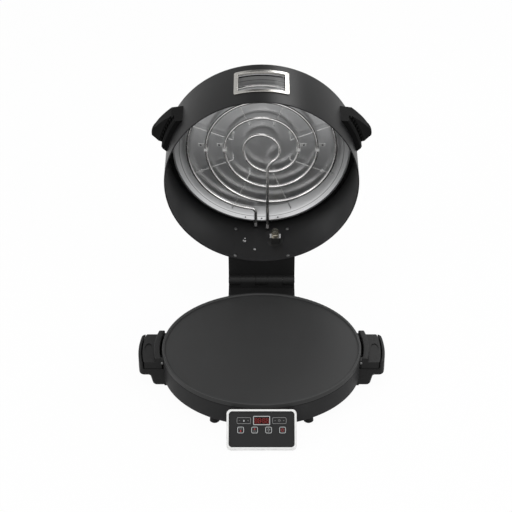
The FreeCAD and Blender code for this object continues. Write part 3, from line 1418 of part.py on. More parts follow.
def build_lamp():
    """Lamp in the rear wall of the lid, with the stud and rivet beside it."""
    inner = lid_inner_r
    centre = V(lamp_x, 0, lid_rim_z + lamp_h)
    wall_y = math.sqrt(inner * inner - lamp_x * lamp_x)
    half = lamp_holder_half
    front_y = wall_y - lamp_holder_reach
    disc = rod(lamp_flange_r, V(lamp_x, body_r * 0.8, centre.z), Y_AXIS, body_r)
    flange = shell_patch(disc, body_r + touch_gap / 3, body_r + lamp_flange)
    rear_y = body_r + lamp_flange - 3
    stem = block(lamp_x - half, lamp_x + half, front_y, rear_y, centre.z - half, centre.z + half)
    keep_lid("lamp_holder", fuse([flange, stem]))
    plate = block(lamp_x - lamp_plate_x / 2, lamp_x + lamp_plate_x / 2, front_y - lamp_plate_thick, front_y,
                  centre.z - lamp_plate_z / 2, centre.z + lamp_plate_z / 2)
    keep_lid("lamp_plate", plate)
    cap_y = front_y - lamp_plate_thick
    cap = rod(lamp_cap_r, V(lamp_x, cap_y, centre.z), -Y_AXIS, lamp_cap_h)
    cap = cap.makeFillet(1.0, [e for e in cap.Edges if abs(e.BoundBox.YMin - (cap_y - lamp_cap_h)) < 1e-3
                               and e.BoundBox.YLength < 1e-3])
    keep_lid("lamp_cap", cap)
    tip = cap_y - lamp_cap_h
    bulb = rod(lamp_bulb_r, V(lamp_x, tip, centre.z), -Y_AXIS, lamp_bulb_h)
    crown = [e for e in bulb.Edges if abs(e.BoundBox.YMax - (tip - lamp_bulb_h)) < 1e-3]
    bulb = bulb.makeFillet(lamp_bulb_r * 0.5, crown)
    keep_lid("lamp_bulb", bulb)

    build_wall_studs()


def build_wall_studs():
    """Stud with its nut and a round rivet on the rear wall of the lid."""
    (stud_x, stud_h), (rivet_x, rivet_h_place) = stud_places
    foot, heading = wall_seat(lid_inner_r, stud_x, lid_rim_z + stud_h)
    shank = rod(screw_r, foot + heading * 2, -heading, stud_length + 2)
    stud = fuse([shank, rod(screw_head_r, foot, -heading, screw_head_h)])
    foot, heading = wall_seat(lid_inner_r, rivet_x, lid_rim_z + rivet_h_place)
    shank = rod(screw_r, foot + heading * 2, -heading, 2 + wall_rivet_h / 2)
    rivet = fuse([rod(wall_rivet_r, foot, -heading, wall_rivet_h), shank])
    keep_lid("lid_wall_studs", group([stud, rivet]))


def main():
    """Build every node and write each one to its own file."""
    build_base_shell()
    build_lower_heat()
    build_plate()
    build_base_handles()
    build_hinge()
    build_panel()
    build_power()
    build_lid_shell()
    build_upper_heat()
    build_window()
    build_lid_handles()
    build_lamp()
    front_y = nodes["panel_frame"].optimalBoundingBox(False).YMin
    rear_y = nodes["lid_top_cover"].optimalBoundingBox(False).YMax
    middle_y = round((front_y + rear_y) / 2, 2)
    print("outline from", round(front_y, 3), "to", round(rear_y, 3), "middle", middle_y)
    os.makedirs("parts", exist_ok=True)
    for name, shape in nodes.items():
        shape.translate(V(0, -middle_y, 0))
        shape.exportStep(os.path.join("parts", name + ".step"))
        solids = shape.Solids
        print(name, len(solids), round(sum(s.Volume for s in solids) / 1000.0, 1), shape.isValid())


main()
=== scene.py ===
"""Looks of a round flatbread maker: coated plate, drum lid with a bare spiral element, key panel.

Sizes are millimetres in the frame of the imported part, and become metres when a mesh is made.
Lid pieces are drawn on the shut lid, with heights counted from its rim, and are then turned open.
"""
import json
import logging
import math
from dataclasses import dataclass, field
from enum import Enum
from functools import cache, cached_property
from typing import Callable, ClassVar, Iterable, Optional, Sequence, Union

import bmesh
import bpy
import numpy as np
from mathutils import Matrix, Vector
from mathutils.bvhtree import BVHTree


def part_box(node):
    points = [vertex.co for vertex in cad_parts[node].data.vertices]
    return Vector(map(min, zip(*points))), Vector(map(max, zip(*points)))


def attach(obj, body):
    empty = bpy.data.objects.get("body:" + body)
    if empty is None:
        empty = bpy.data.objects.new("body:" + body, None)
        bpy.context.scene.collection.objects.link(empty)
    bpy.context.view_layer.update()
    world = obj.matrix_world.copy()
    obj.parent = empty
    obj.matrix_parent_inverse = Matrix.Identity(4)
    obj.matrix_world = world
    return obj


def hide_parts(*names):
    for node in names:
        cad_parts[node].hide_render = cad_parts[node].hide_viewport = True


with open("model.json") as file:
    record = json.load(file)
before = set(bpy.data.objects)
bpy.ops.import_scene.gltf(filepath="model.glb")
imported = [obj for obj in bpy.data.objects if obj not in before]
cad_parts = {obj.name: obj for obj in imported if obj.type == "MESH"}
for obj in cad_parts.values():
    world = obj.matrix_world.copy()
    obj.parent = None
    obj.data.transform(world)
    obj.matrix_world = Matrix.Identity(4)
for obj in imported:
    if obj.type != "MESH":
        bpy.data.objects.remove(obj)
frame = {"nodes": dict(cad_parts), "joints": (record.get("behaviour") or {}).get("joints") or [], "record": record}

log = logging.getLogger("flatbread_maker")
MM = 0.001
TO_MM = 1000.0
MERGE_DISTANCE = 2e-6
CORNERS = ((-1, -1), (1, -1), (1, 1), (-1, 1))
HANDS = ((-1, "left"), (1, "right"))
WHITE = (1.0, 1.0, 1.0, 1.0)
Triple = tuple[float, float, float]
Flat = tuple[float, float]
Loop = list[Flat]
Face = tuple[int, ...]
Sweep = tuple[float, float, int]


class Sock:
    """A node's output that takes part in arithmetic: each operation adds a Math node."""

    def __init__(self, graph: "Graph", socket: bpy.types.NodeSocket) -> None:
        """Keep the socket and the graph that it belongs to."""
        self.graph = graph
        self.socket = socket

    def __add__(self, other: "Value") -> "Sock":
        """Sum."""
        return self.graph.math("ADD", self, other)

    __radd__ = __add__

    def __sub__(self, other: "Value") -> "Sock":
        """Difference."""
        return self.graph.math("SUBTRACT", self, other)

    def __rsub__(self, other: "Value") -> "Sock":
        """Difference with the number first."""
        return self.graph.math("SUBTRACT", other, self)

    def __mul__(self, other: "Value") -> "Sock":
        """Product."""
        return self.graph.math("MULTIPLY", self, other)

    __rmul__ = __mul__

    def __pow__(self, other: "Value") -> "Sock":
        """Power."""
        return self.graph.math("POWER", self, other)

    def __abs__(self) -> "Sock":
        """Size without its sign."""
        return self.graph.math("ABSOLUTE", self)


Value = Union[Sock, float]


class Graph:
    """A node tree that is written as expressions."""

    def __init__(self, tree: bpy.types.NodeTree) -> None:
        """Start from a tree with no nodes."""
        self.tree = tree
        tree.nodes.clear()

    def node(self, kind: str, values: Optional[dict] = None, settings: Optional[dict] = None,
             out: Union[int, str] = 0) -> Sock:
        """Add a node.

        Args:
            kind: the node's type.
            values: numbers, colours or socks for its inputs, by name or place.
            settings: the node's own properties, set first.
            out: the output that is wanted.

        Returns:
            That output.
        """
        made = self.tree.nodes.new(kind)
        for name, value in (settings or {}).items():
            setattr(made, name, value)
        for name, value in (values or {}).items():
            if isinstance(value, Sock):
                self.tree.links.new(value.socket, made.inputs[name])
            else:
                made.inputs[name].default_value = value
        return Sock(self, made.outputs[out]) if made.outputs else Sock(self, made.inputs[0])

    def math(self, operation: str, a: Value, b: Value = 0.0) -> Sock:
        """One Math node."""
        return self.node("ShaderNodeMath", {0: a, 1: b}, {"operation": operation})

    def mix(self, factor: Value, a: object, b: object) -> Sock:
        """Mix of two colours."""
        return self.node("ShaderNodeMix", {0: factor, 6: a, 7: b}, {"data_type": "RGBA"}, 2)

    def noise(self, place: Sock, scale: float, detail: float) -> Sock:
        """Soft noise with a number of patches to the metre."""
        values = {"Vector": place, "Scale": scale, "Detail": detail}
        return self.node("ShaderNodeTexNoise", values)

    def step(self, value: Value, low: float, high: float) -> Sock:
        """Ramp from 0 at the low value to 1 at the high one."""
        return self.node("ShaderNodeMapRange", {0: value, 1: low, 2: high, 3: 0.0, 4: 1.0})


def joint(name: str) -> dict:
    """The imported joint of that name."""
    return next(j for j in frame["joints"] if j["name"] == name)


def body_of(node: str) -> str:
    """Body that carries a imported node."""
    return next(b for b, names in frame["record"]["behaviour"]["bodies"].items() if node in names)


@dataclass(frozen=True)
class LidPose:
    """Turns places on the shut lid into places on the open one."""

    hinge: Vector
    turn: Matrix
    rim: float
    axis_y: float

    @classmethod
    def from_frame(cls, rim_gap: float = 1.0) -> "LidPose":
        """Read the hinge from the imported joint.

        Args:
            rim_gap: gap between the plate's rim and the shut lid.

        Returns:
            The pose.
        """
        hinge = joint("lid_hinge")
        shut = math.radians(hinge["range_deg"][0])
        turn = Matrix.Rotation(-shut, 3, Vector(hinge["axis"]))
        low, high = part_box("baking_plate")
        rim, axis_y = high.z / MM + rim_gap, (low.y + high.y) / 2 / MM
        return cls(Vector(hinge["pos_m"]) / MM, turn, rim, axis_y)

    def place(self, point: Vector) -> Vector:
        """Open place of a point whose height is counted from the shut rim."""
        shut = Vector((point.x, point.y + self.axis_y, point.z + self.rim))
        return self.hinge + self.turn @ (shut - self.hinge)

    def unturned(self) -> tuple[Triple, Triple]:
        """Find what lays the open lid's axis upright through the origin.

        Returns:
            The turn in radians and the shift in metres.
        """
        back = self.turn.inverted()
        shift = (self.hinge - back @ self.hinge - Vector((0.0, self.axis_y, self.rim))) * MM
        return tuple(back.to_euler()), tuple(shift)


POSE = LidPose.from_frame()


class MaterialGraph(Graph):
    """A material's node tree, which can tell where a point lies on the object."""

    def __init__(self, name: str) -> None:
        """Start a material with no nodes.

        Args:
            name: the material's name.
        """
        self.material = bpy.data.materials.new(name)
        self.material.use_nodes = True
        super().__init__(self.material.node_tree)

    @cached_property
    def place(self) -> Sock:
        """Place on the piece."""
        return self.node("ShaderNodeTexCoord", out="Object")

    @cached_property
    def lid_radius(self) -> Sock:
        """Distance from the open lid's axis in millimetres."""
        turn, shift = POSE.unturned()
        return self.from_axis({"Rotation": turn, "Location": shift})

    @cached_property
    def plate_radius(self) -> Sock:
        """Distance from the plate's axis in millimetres."""
        return self.from_axis({"Location": (0.0, -POSE.axis_y * MM, 0.0)})

    @cached_property
    def height(self) -> Sock:
        """Height above the table in millimetres."""
        return self.node("ShaderNodeSeparateXYZ", {0: self.place}, out="Z") * TO_MM

    def from_axis(self, mapping: dict) -> Sock:
        """Measure from an axis.

        Args:
            mapping: what lays the axis upright through the origin.

        Returns:
            The distance in millimetres.
        """
        laid = self.node("ShaderNodeMapping", {"Vector": self.place, **mapping})
        x, y = (self.node("ShaderNodeSeparateXYZ", {0: laid}, out=axis) for axis in "XY")
        return (x * x + y * y) ** 0.5 * TO_MM

    def close(self, shader: Sock) -> bpy.types.Material:
        """The material, which ends in a shader."""
        self.node("ShaderNodeOutputMaterial", {"Surface": shader})
        return self.material

    def principled(self, values: dict) -> bpy.types.Material:
        """The material, which ends in one principled shader with the given inputs."""
        return self.close(self.node("ShaderNodeBsdfPrincipled", values))


def tinted(colour: Triple, share: float) -> tuple[float, float, float, float]:
    """A colour made lighter or darker by a share."""
    return tuple(min(1.0, max(0.0, c * (1.0 + share))) for c in colour) + (1.0,)


@dataclass(frozen=True)
class Surface:
    """An opaque finish with soft patches of tone, grain that catches the light, and uneven gloss.

    mottle and gloss_spread are shares, scales are counts to the metre, grain_depth is in
    millimetres, and stretch draws the grain out along an axis.
    """

    patch_detail: ClassVar[float] = 4.0
    patch_range: ClassVar[Flat] = (0.3, 0.7)
    grain_detail: ClassVar[float] = 2.0
    coat_roughness: ClassVar[float] = 0.15

    name: str
    colour: Triple
    roughness: float
    metallic: float = 0.0
    mottle: float = 0.10
    mottle_scale: float = 14.0
    gloss_spread: float = 0.06
    grain_scale: float = 1500.0
    grain_depth: float = 0.01
    stretch: Triple = (1.0, 1.0, 1.0)
    coat: float = 0.0
    specular: float = 0.5

    def grain(self, graph: MaterialGraph) -> Sock:
        """Grain of the finish over the surface."""
        drawn = graph.node("ShaderNodeMapping", {"Vector": graph.place, "Scale": self.stretch})
        return graph.noise(drawn, self.grain_scale, self.grain_detail)

    def relief(self, graph: MaterialGraph, grain: Sock) -> Sock:
        """Height of the surface's fine relief in millimetres."""
        return grain * self.grain_depth

    def tone(self, graph: MaterialGraph, colour: Sock) -> Sock:
        """Colour with the finish's own marks."""
        return colour

    def metal(self, graph: MaterialGraph) -> Value:
        """How far the finish is metal."""
        return self.metallic

    def make(self) -> bpy.types.Material:
        """Build the finish.

        Returns:
            The material.
        """
        graph = MaterialGraph(self.name)
        patches = graph.noise(graph.place, self.mottle_scale, self.patch_detail)
        grain = self.grain(graph)
        colour = graph.mix(graph.step(patches, *self.patch_range),
                           tinted(self.colour, -self.mottle), tinted(self.colour, self.mottle))
        rough = (patches + grain - 1.0) * (2.0 * self.gloss_spread) + self.roughness
        bump = graph.node("ShaderNodeBump", {
            "Strength": 1.0, "Distance": MM, "Height": self.relief(graph, grain)})
        return graph.principled({
            "Base Color": self.tone(graph, colour), "Roughness": rough,
            "Metallic": self.metal(graph), "Normal": bump, "Coat Weight": self.coat,
            "Coat Roughness": self.coat_roughness, "Specular IOR Level": self.specular})


@dataclass(frozen=True)
class Spun(Surface):
    """Metal spun on a lathe: fine rings round the lid's axis, a bowl to the rim and painted
    shade along a scored groove.

    slope_r and flange_r bound the sheet's own slope, which the bowl takes the place of. The bowl
    starts at bowl_r, reaches its lean at full_r and ends at edge_r. The painted shade of the
    scored groove lies at line_r, with its full depth inside line_core and none beyond line_half.
    """

    ring_detail: ClassVar[float] = 3.0

    slope_r: float = 160.0
    flange_r: float = 172.0
    bowl_r: float = 150.0
    full_r: float = 177.0
    edge_r: float = 188.5
    lean: float = 0.42
    own_slope: float = 1.05
    line_r: float = 178.0
    line_half: float = 1.1
    line_core: float = 0.5
    line_cover: float = 0.75
    line_dark: float = 0.8

    def grain(self, graph: MaterialGraph) -> Sock:
        """Rings that grow out from the lid's axis."""
        values = {"W": graph.lid_radius * (MM * self.grain_scale), "Scale": 1.0,
                  "Detail": self.ring_detail}
        return graph.node("ShaderNodeTexNoise", values, {"noise_dimensions": "1D"})

    def relief(self, graph: MaterialGraph, grain: Sock) -> Sock:
        """Shape rings and bowl, less the sheet's own slope.

        Args:
            graph: the graph to add to.
            grain: the rings.

        Returns:
            The height in millimetres.
        """
        radius = graph.lid_radius
        own = graph.step(radius, self.slope_r, self.flange_r) * (self.flange_r - self.slope_r)
        rise = (self.full_r - self.bowl_r) / 2.0
        rising = graph.step(radius, self.bowl_r, self.full_r) ** 2.0 * rise
        steady = graph.step(radius, self.full_r, self.edge_r) * (self.edge_r - self.full_r)
        return grain * self.grain_depth - own * self.own_slope + (rising + steady) * self.lean

    def tone(self, graph: MaterialGraph, colour: Sock) -> Sock:
        """Colour with painted shade along the scored groove."""
        # painted shade: a dark ring where the groove's step falls into shade
        line = graph.step(abs(graph.lid_radius - self.line_r), self.line_half, self.line_core)
        return graph.mix(line * self.line_cover, colour, tinted(self.colour, -self.line_dark))


@dataclass(frozen=True)
class PaintedLightDrum(Surface):
    """Paint of the lid's drum, drawn paler on its inner side as painted light."""

    inner_r: float = 204.4
    inner_edge: float = 0.2
    inner_share: float = 0.9

    def tone(self, graph: MaterialGraph, colour: Sock) -> Sock:
        """Colour with the inside painted paler, as painted light."""
        # painted light: the inner side is the same paint, drawn lighter
        inside = graph.step(graph.lid_radius, self.inner_r, self.inner_r - self.inner_edge)
        return graph.mix(inside, colour, tinted(self.colour, self.inner_share))


@dataclass(frozen=True)
class Sheath(Surface):
    """Element tube, polished where it heats and dull at the cold ends of its legs."""

    cold_r: float = 188.0
    cold_reach: float = 6.0
    cold_metal: float = 0.62

    def metal(self, graph: MaterialGraph) -> Value:
        """Metal along the turns, less of it from cold_r outwards."""
        cold = graph.step(graph.lid_radius, self.cold_r, self.cold_r + self.cold_reach)
        return self.metallic - cold * (self.metallic - self.cold_metal)


@dataclass(frozen=True)
class SeamShaded(Surface):
    """A round wall's finish with painted shade along the joint where plate and housing meet."""

    seam_z: float = 59.65
    seam_half: float = 0.9
    seam_dark: float = 0.9
    wall_r: float = 204.0
    wall_edge: float = 0.4

    def tone(self, graph: MaterialGraph, colour: Sock) -> Sock:
        """Paint shade along the joint.

        Args:
            graph: the graph to add to.
            colour: the finish's colour.

        Returns:
            The colour with painted shade at the joint.
        """
        # painted shade: a dark band where the rounded edges at the joint fall into shadow
        line = graph.step(abs(graph.height - self.seam_z), self.seam_half, self.seam_half / 2)
        wall = graph.step(graph.plate_radius, self.wall_r - self.wall_edge, self.wall_r)
        return graph.mix(line * wall, colour, tinted(self.colour, -self.seam_dark))


@dataclass(frozen=True)
class Coated(SeamShaded):
    """Coating on the round plate, with painted highlights along the edges of its rim.

    rings holds radii and how much lighter or darker each ring is: the lighter rings are painted
    highlights on the rim's edges, the darker one painted shade at the rim's foot. Rings are drawn
    above floor, whose two depths are counted from the shut lid's rim.
    """

    rings: tuple[Flat, ...] = ((197.6, -0.6), (200.2, 0.9), (203.9, 0.8))
    ring_half: float = 1.1
    ring_core: float = 0.2
    floor: Flat = (4.8, 4.2)

    def tone(self, graph: MaterialGraph, colour: Sock) -> Sock:
        """Colour with painted shade at the joint and at the rim's foot, and painted highlights on its edges.

        Args:
            graph: the graph to add to.
            colour: the finish's colour.

        Returns:
            The colour with its painted rings of light and shade.
        """
        colour = super().tone(graph, colour)
        top = graph.step(graph.height, *(POSE.rim - depth for depth in self.floor))
        # painted light: lighter rings are painted highlights on the rim's edges, the darker ring painted shade at
        # its foot
        for ring, share in self.rings:
            off = abs(graph.plate_radius - ring)
            near = graph.step(off, self.ring_half, self.ring_core) * top
            colour = graph.mix(near, colour, tinted(self.colour, share))
        return colour


@dataclass(frozen=True)
class Glass:
    """Tinted glass with faint smears."""

    name: str
    colour: Triple
    cover: float
    roughness: float = 0.05
    smear_scale: float = 40.0
    smear_detail: float = 3.0
    smear_spread: float = 0.06
    specular: float = 0.25

    def make(self) -> bpy.types.Material:
        """Build the finish.

        Returns:
            The material.
        """
        graph = MaterialGraph(self.name)
        smears = graph.noise(graph.place, self.smear_scale, self.smear_detail)
        return graph.principled({
            "Base Color": tinted(self.colour, 0.0), "Alpha": self.cover,
            "Roughness": smears * self.smear_spread + self.roughness,
            "Specular IOR Level": self.specular})


@dataclass(frozen=True)
class Glow:
    """Lit digits behind a lens."""

    name: str
    colour: Triple
    strength: float = 1.0
    unlit: Triple = (0.01, 0.003, 0.003)
    roughness: float = 0.3
    uneven: float = 0.15
    uneven_scale: float = 400.0
    uneven_detail: float = 1.0

    def make(self) -> bpy.types.Material:
        """Build the finish.

        Returns:
            The material.
        """
        graph = MaterialGraph(self.name)
        patches = graph.noise(graph.place, self.uneven_scale, self.uneven_detail)
        colour = graph.mix(patches, tinted(self.colour, -self.uneven),
                           tinted(self.colour, self.uneven))
        return graph.principled({
            "Base Color": tinted(self.unlit, 0.0), "Roughness": self.roughness,
            "Emission Color": colour, "Emission Strength": self.strength})


SATIN = {"colour": (0.0115, 0.0115, 0.0118), "roughness": 0.36, "grain_depth": 0.003,
         "specular": 0.09}
COARSE = {"grain_scale": 2200.0, "grain_depth": 0.015}
MOULDED = {"grain_scale": 2600.0, "grain_depth": 0.003}
DRAWN = {"mottle_scale": 80.0, "grain_depth": 0.002}


class Look(Enum):
    """Finishes of the object."""

    PAINT = Surface("satin_black_paint", **SATIN)
    # painted light: the drum's inside is drawn paler than the same paint outside
    DRUM = PaintedLightDrum("drum_paint", **SATIN)
    HOUSING = SeamShaded("housing_paint", (0.032, 0.032, 0.0325), 0.48, grain_depth=0.004,
                     specular=0.04)
    COATING = Coated("non_stick_coating", (0.0305, 0.0308, 0.0308), 0.55, mottle=0.06,
                     grain_scale=2600.0, grain_depth=0.008, specular=0.22)
    PLASTIC = Surface("handle_plastic", (0.0085, 0.0085, 0.0085), 0.52, specular=0.18, **COARSE)
    # painted shade: a darker copy of the handle plastic for the lid handles, whose seen faces turn away from the
    # light
    GRIP = Surface("lid_grip_plastic", (0.0068, 0.0068, 0.0068), 0.55, specular=0.035, **COARSE)
    BRACKET = Surface("bracket_paint", (0.0130, 0.0130, 0.0130), 0.44, grain_depth=0.005,
                      specular=0.16)
    FACE = Surface("panel_plastic", (0.0145, 0.0145, 0.0148), 0.42, specular=0.18, **MOULDED)
    KEY = Surface("key_plastic", (0.0115, 0.0115, 0.0118), 0.40, specular=0.2, **MOULDED)
    DISH = Spun("spun_aluminium", (0.74, 0.745, 0.75), 0.32, 1.0, mottle=0.05, gloss_spread=0.03,
                grain_scale=900.0, grain_depth=0.0006)
    PAN = Surface("rolled_aluminium", (0.55, 0.56, 0.57), 0.34, 1.0, mottle=0.06,
                  grain_scale=500.0, stretch=(1.0, 0.04, 1.0), grain_depth=0.002)
    ELEMENT = Sheath("element_steel", (0.80, 0.79, 0.78), 0.22, 1.0, mottle=0.12,
                     mottle_scale=60.0, grain_depth=0.002)
    STEEL = Surface("bright_steel", (0.62, 0.62, 0.62), 0.26, 1.0, mottle=0.05, **DRAWN)
    DARK_STEEL = Surface("oiled_steel", (0.20, 0.20, 0.20), 0.36, 1.0, mottle=0.10,
                         mottle_scale=80.0, grain_depth=0.003)
    SILVER = Surface("silver_lacquer", (0.86, 0.86, 0.85), 0.30, mottle=0.02, coat=0.3,
                     grain_depth=0.001)
    WINDOW = Surface("polished_frame", (0.37, 0.36, 0.34), 0.27, 1.0, mottle=0.03,
                     gloss_spread=0.02, grain_scale=600.0, grain_depth=0.0005)
    BRASS = Surface("dull_brass", (0.62, 0.57, 0.46), 0.34, 1.0, mottle=0.15, mottle_scale=90.0)
    ZINC = Surface("white_zinc", (0.92, 0.92, 0.91), 0.4, 0.2, mottle=0.04, **DRAWN)
    WIRE = Surface("drawn_wire", (0.78, 0.78, 0.77), 0.34, 0.75, mottle=0.05, **DRAWN)
    GLAZE = Surface("dark_glaze", (0.016, 0.016, 0.016), 0.4, specular=0.15)
    CERAMIC = Surface("dark_ceramic", (0.024, 0.024, 0.0235), 0.45, specular=0.2)
    RUBBER = Surface("foot_rubber", (0.010, 0.010, 0.010), 0.75, grain_depth=0.03, specular=0.2)
    FIBRE = Surface("felted_fibre", (0.70, 0.68, 0.60), 0.9, grain_scale=600.0, grain_depth=0.3)
    BOARD = Surface("circuit_board", (0.02, 0.10, 0.04), 0.4, coat=0.4)
    MODULE = Surface("display_back", (0.008, 0.005, 0.005), 0.5, specular=0.1)
    PRINT = Surface("pale_print", (0.42, 0.43, 0.43), 0.5, grain_depth=0.002)
    GREY_PRINT = Surface("grey_print", (0.24, 0.24, 0.24), 0.5, grain_depth=0.002, specular=0.2)
    RED_PRINT = Surface("red_print", (0.34, 0.02, 0.02), 0.45, grain_depth=0.002)
    DIGITS = Glow("lit_digits", (0.75, 0.05, 0.045))
    LENS = Glass("smoked_lens", (0.012, 0.004, 0.004), 0.35)
    PANE = Glass("window_pane", (0.02, 0.02, 0.02), 0.16, 0.12)
    BULB = Glass("smoky_bulb", (0.10, 0.095, 0.075), 0.55)

    @cache
    def material(self) -> bpy.types.Material:
        """The finish's material, made when it is first asked for."""
        return self.value.make()


def shade(mesh: bpy.types.Mesh, angle: float) -> None:
    """Shade a mesh smooth.

    Args:
        mesh: the mesh.
        angle: edges sharper than this, in degrees, stay crisp.
    """
    mesh.polygons.foreach_set("use_smooth", [True] * len(mesh.polygons))
    mesh.set_sharp_from_angle(angle=math.radians(angle))
    mesh.update()


def rework(mesh: bpy.types.Mesh, change: Callable[[bmesh.types.BMesh], object]) -> None:
    """Change a mesh in place.

    Args:
        mesh: the mesh.
        change: what is done to its working copy.
    """
    work = bmesh.new()
    work.from_mesh(mesh)
    change(work)
    work.to_mesh(mesh)
    work.free()


def link(name: str, data: bpy.types.ID) -> bpy.types.Object:
    """Add an object to the scene.

    Args:
        name: the object's name.
        data: its mesh, lamp or camera.

    Returns:
        The object.
    """
    made = bpy.data.objects.new(name, data)
    bpy.context.scene.collection.objects.link(made)
    return made


def plain(name: str, points: Iterable[Vector], edges: Iterable[Face] = (),
          faces: Iterable[Face] = ()) -> bpy.types.Object:
    """Add an object from places in millimetres.

    Args:
        name: the object's name.
        points: its corners.
        edges: its loose edges.
        faces: its faces.

    Returns:
        The object.
    """
    mesh = bpy.data.meshes.new(name)
    mesh.from_pydata([p * MM for p in points], list(edges), list(faces))
    return link(name, mesh)


def solid(name: str, points: Iterable[Vector], faces: Iterable[Face]) -> bpy.types.Object:
    """Add a closed object, with its faces turned outwards.

    Args:
        name: the object's name.
        points: its corners in millimetres.
        faces: its faces.

    Returns:
        The object.
    """
    made = plain(name, points, (), faces)
    rework(made.data, lambda work: bmesh.ops.recalc_face_normals(work, faces=work.faces))
    return made


def prism_faces(count: int, first: int = 0) -> list[Face]:
    """List the faces of a prism.

    Args:
        count: corners of its lower loop, which its upper loop follows.
        first: place of the lower loop's first corner.

    Returns:
        Its two ends and its sides.
    """
    top = first + count
    faces: list[Face] = [tuple(range(first, top)), tuple(range(top, top + count))]
    for i in range(count):
        j = (i + 1) % count
        faces.append((first + i, first + j, top + j, top + i))
    return faces


def spun_solid(name: str, profile: Sequence[Flat], sides: int) -> bpy.types.Object:
    """Turn a profile about the upright axis.

    Args:
        name: the object's name.
        profile: radii and heights, from one end on the axis to the other.
        sides: flats round the axis.

    Returns:
        The object.
    """
    turns = [2 * math.pi * i / sides for i in range(sides)]
    points = [Vector((0.0, 0.0, profile[0][1]))]
    for radius, z in profile[1:-1]:
        points += [Vector((radius * math.cos(t), radius * math.sin(t), z)) for t in turns]
    points.append(Vector((0.0, 0.0, profile[-1][1])))
    last = len(points) - 1
    end = last - sides
    faces: list[Face] = []
    for i in range(sides):
        j = (i + 1) % sides
        faces += [(0, 1 + i, 1 + j), (end + i, last, end + j)]
        faces += [(a + i, a + sides + i, a + sides + j, a + j) for a in range(1, end, sides)]
    return solid(name, points, faces)


def settle(made: bpy.types.Object) -> None:
    """Turn an object's modifiers into plain mesh.

    Args:
        made: the object.
    """
    graph = bpy.context.evaluated_depsgraph_get()
    mesh = bpy.data.meshes.new_from_object(made.evaluated_get(graph))
    made.modifiers.clear()
    made.data = mesh


def finish_piece(made: bpy.types.Object, look: Look, body: str, *nodes: str) -> None:
    """Dress a piece and hang it on a body.

    Args:
        made: the piece.
        look: its finish.
        body: the body that carries it.
        nodes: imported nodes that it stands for.
    """
    made.data.materials.clear()
    made.data.materials.append(look.material())
    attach(made, body)
    if nodes:
        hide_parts(*nodes)
    log.info("%s: %d faces on %s", made.name, len(made.data.polygons), body)


def merged(node: str) -> bpy.types.Mesh:
    """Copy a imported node's mesh and join its loose triangles.

    Args:
        node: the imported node.

    Returns:
        The copy.
    """
    mesh = frame["nodes"][node].data.copy()
    rework(mesh, lambda work: bmesh.ops.remove_doubles(work, verts=work.verts,
                                                       dist=MERGE_DISTANCE))
    return mesh


def skin(node: str, look: Look, angle: float = 30.0) -> None:
    """Put a smooth-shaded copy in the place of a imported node.

    Args:
        node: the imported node.
        look: its finish.
        angle: edges sharper than this, in degrees, stay crisp.
    """
    made = link(node + "_skin", merged(node))
    if made.data.has_custom_normals:
        with bpy.context.temp_override(object=made, active_object=made):
            bpy.ops.mesh.customdata_custom_splitnormals_clear()
    shade(made.data, angle)
    finish_piece(made, look, body_of(node), node)


class GeoTree(Graph):
    """A geometry node tree with named inputs."""

    def __init__(self, name: str, inputs: dict[str, str]) -> None:
        """Make the tree.

        Args:
            name: the tree's name.
            inputs: socket types by name.
        """
        tree = bpy.data.node_groups.new(name, "GeometryNodeTree")
        super().__init__(tree)
        tree.interface.new_socket("Geometry", in_out="INPUT", socket_type="NodeSocketGeometry")
        self.keys: dict[str, str] = {}
        for label, kind in inputs.items():
            item = tree.interface.new_socket(label, in_out="INPUT", socket_type=kind)
            self.keys[label] = item.identifier
        tree.interface.new_socket("Geometry", in_out="OUTPUT", socket_type="NodeSocketGeometry")

    def take(self, label: str) -> Sock:
        """One of the tree's inputs."""
        return self.node("NodeGroupInput", out=label)

    def end(self, shape: Sock) -> "GeoTree":
        """Realise what repeats, give it its material and close the tree.

        Args:
            shape: the tree's shape.

        Returns:
            The tree.
        """
        real = self.node("GeometryNodeRealizeInstances", {"Geometry": shape})
        dressed = self.node("GeometryNodeSetMaterial", {
            "Geometry": real, "Material": self.take("Material")})
        self.node("NodeGroupOutput", {"Geometry": dressed})
        return self

    def grow(self, made: bpy.types.Object, values: dict[str, object], angle: float) -> None:
        """Run the tree on an object and keep the result as plain mesh.

        Args:
            made: the object that the tree starts from.
            values: the inputs by name.
            angle: edges sharper than this, in degrees, stay crisp.
        """
        modifier = made.modifiers.new(self.tree.name, "NODES")
        modifier.node_group = self.tree
        for label, value in values.items():
            modifier[self.keys[label]] = value
        settle(made)
        shade(made.data, angle)


def tube_tree() -> GeoTree:
    """Make a tree that draws a round bar along each line of a mesh.

    Returns:
        The tree.
    """
    tree = GeoTree("round_bar", {"Radius": "NodeSocketFloat", "Sides": "NodeSocketInt",
                                 "Material": "NodeSocketMaterial"})
    line = tree.node("GeometryNodeMeshToCurve", {"Mesh": tree.take("Geometry")})
    ring = tree.node("GeometryNodeCurvePrimitiveCircle", {
        "Resolution": tree.take("Sides"), "Radius": tree.take("Radius")})
    bar = tree.node("GeometryNodeCurveToMesh", {
        "Curve": line, "Profile Curve": ring, "Fill Caps": True})
    return tree.end(bar)


def screw_tree() -> GeoTree:
    """Make a tree that sets a screw on each point, turned to the point's own direction.

    Returns:
        The tree.
    """
    tree = GeoTree("screws", {"Screw": "NodeSocketObject", "Material": "NodeSocketMaterial"})
    screw = tree.node("GeometryNodeObjectInfo", {"Object": tree.take("Screw")}, out="Geometry")
    aim = tree.node("GeometryNodeInputNamedAttribute", {"Name": "aim"},
                    {"data_type": "FLOAT_VECTOR"})
    turn = tree.node("FunctionNodeAlignRotationToVector", {"Vector": aim}, {"axis": "Z"})
    points = tree.node("GeometryNodeMeshToPoints", {"Mesh": tree.take("Geometry")})
    placed = tree.node("GeometryNodeInstanceOnPoints", {
        "Points": points, "Instance": screw, "Rotation": turn})
    return tree.end(placed)


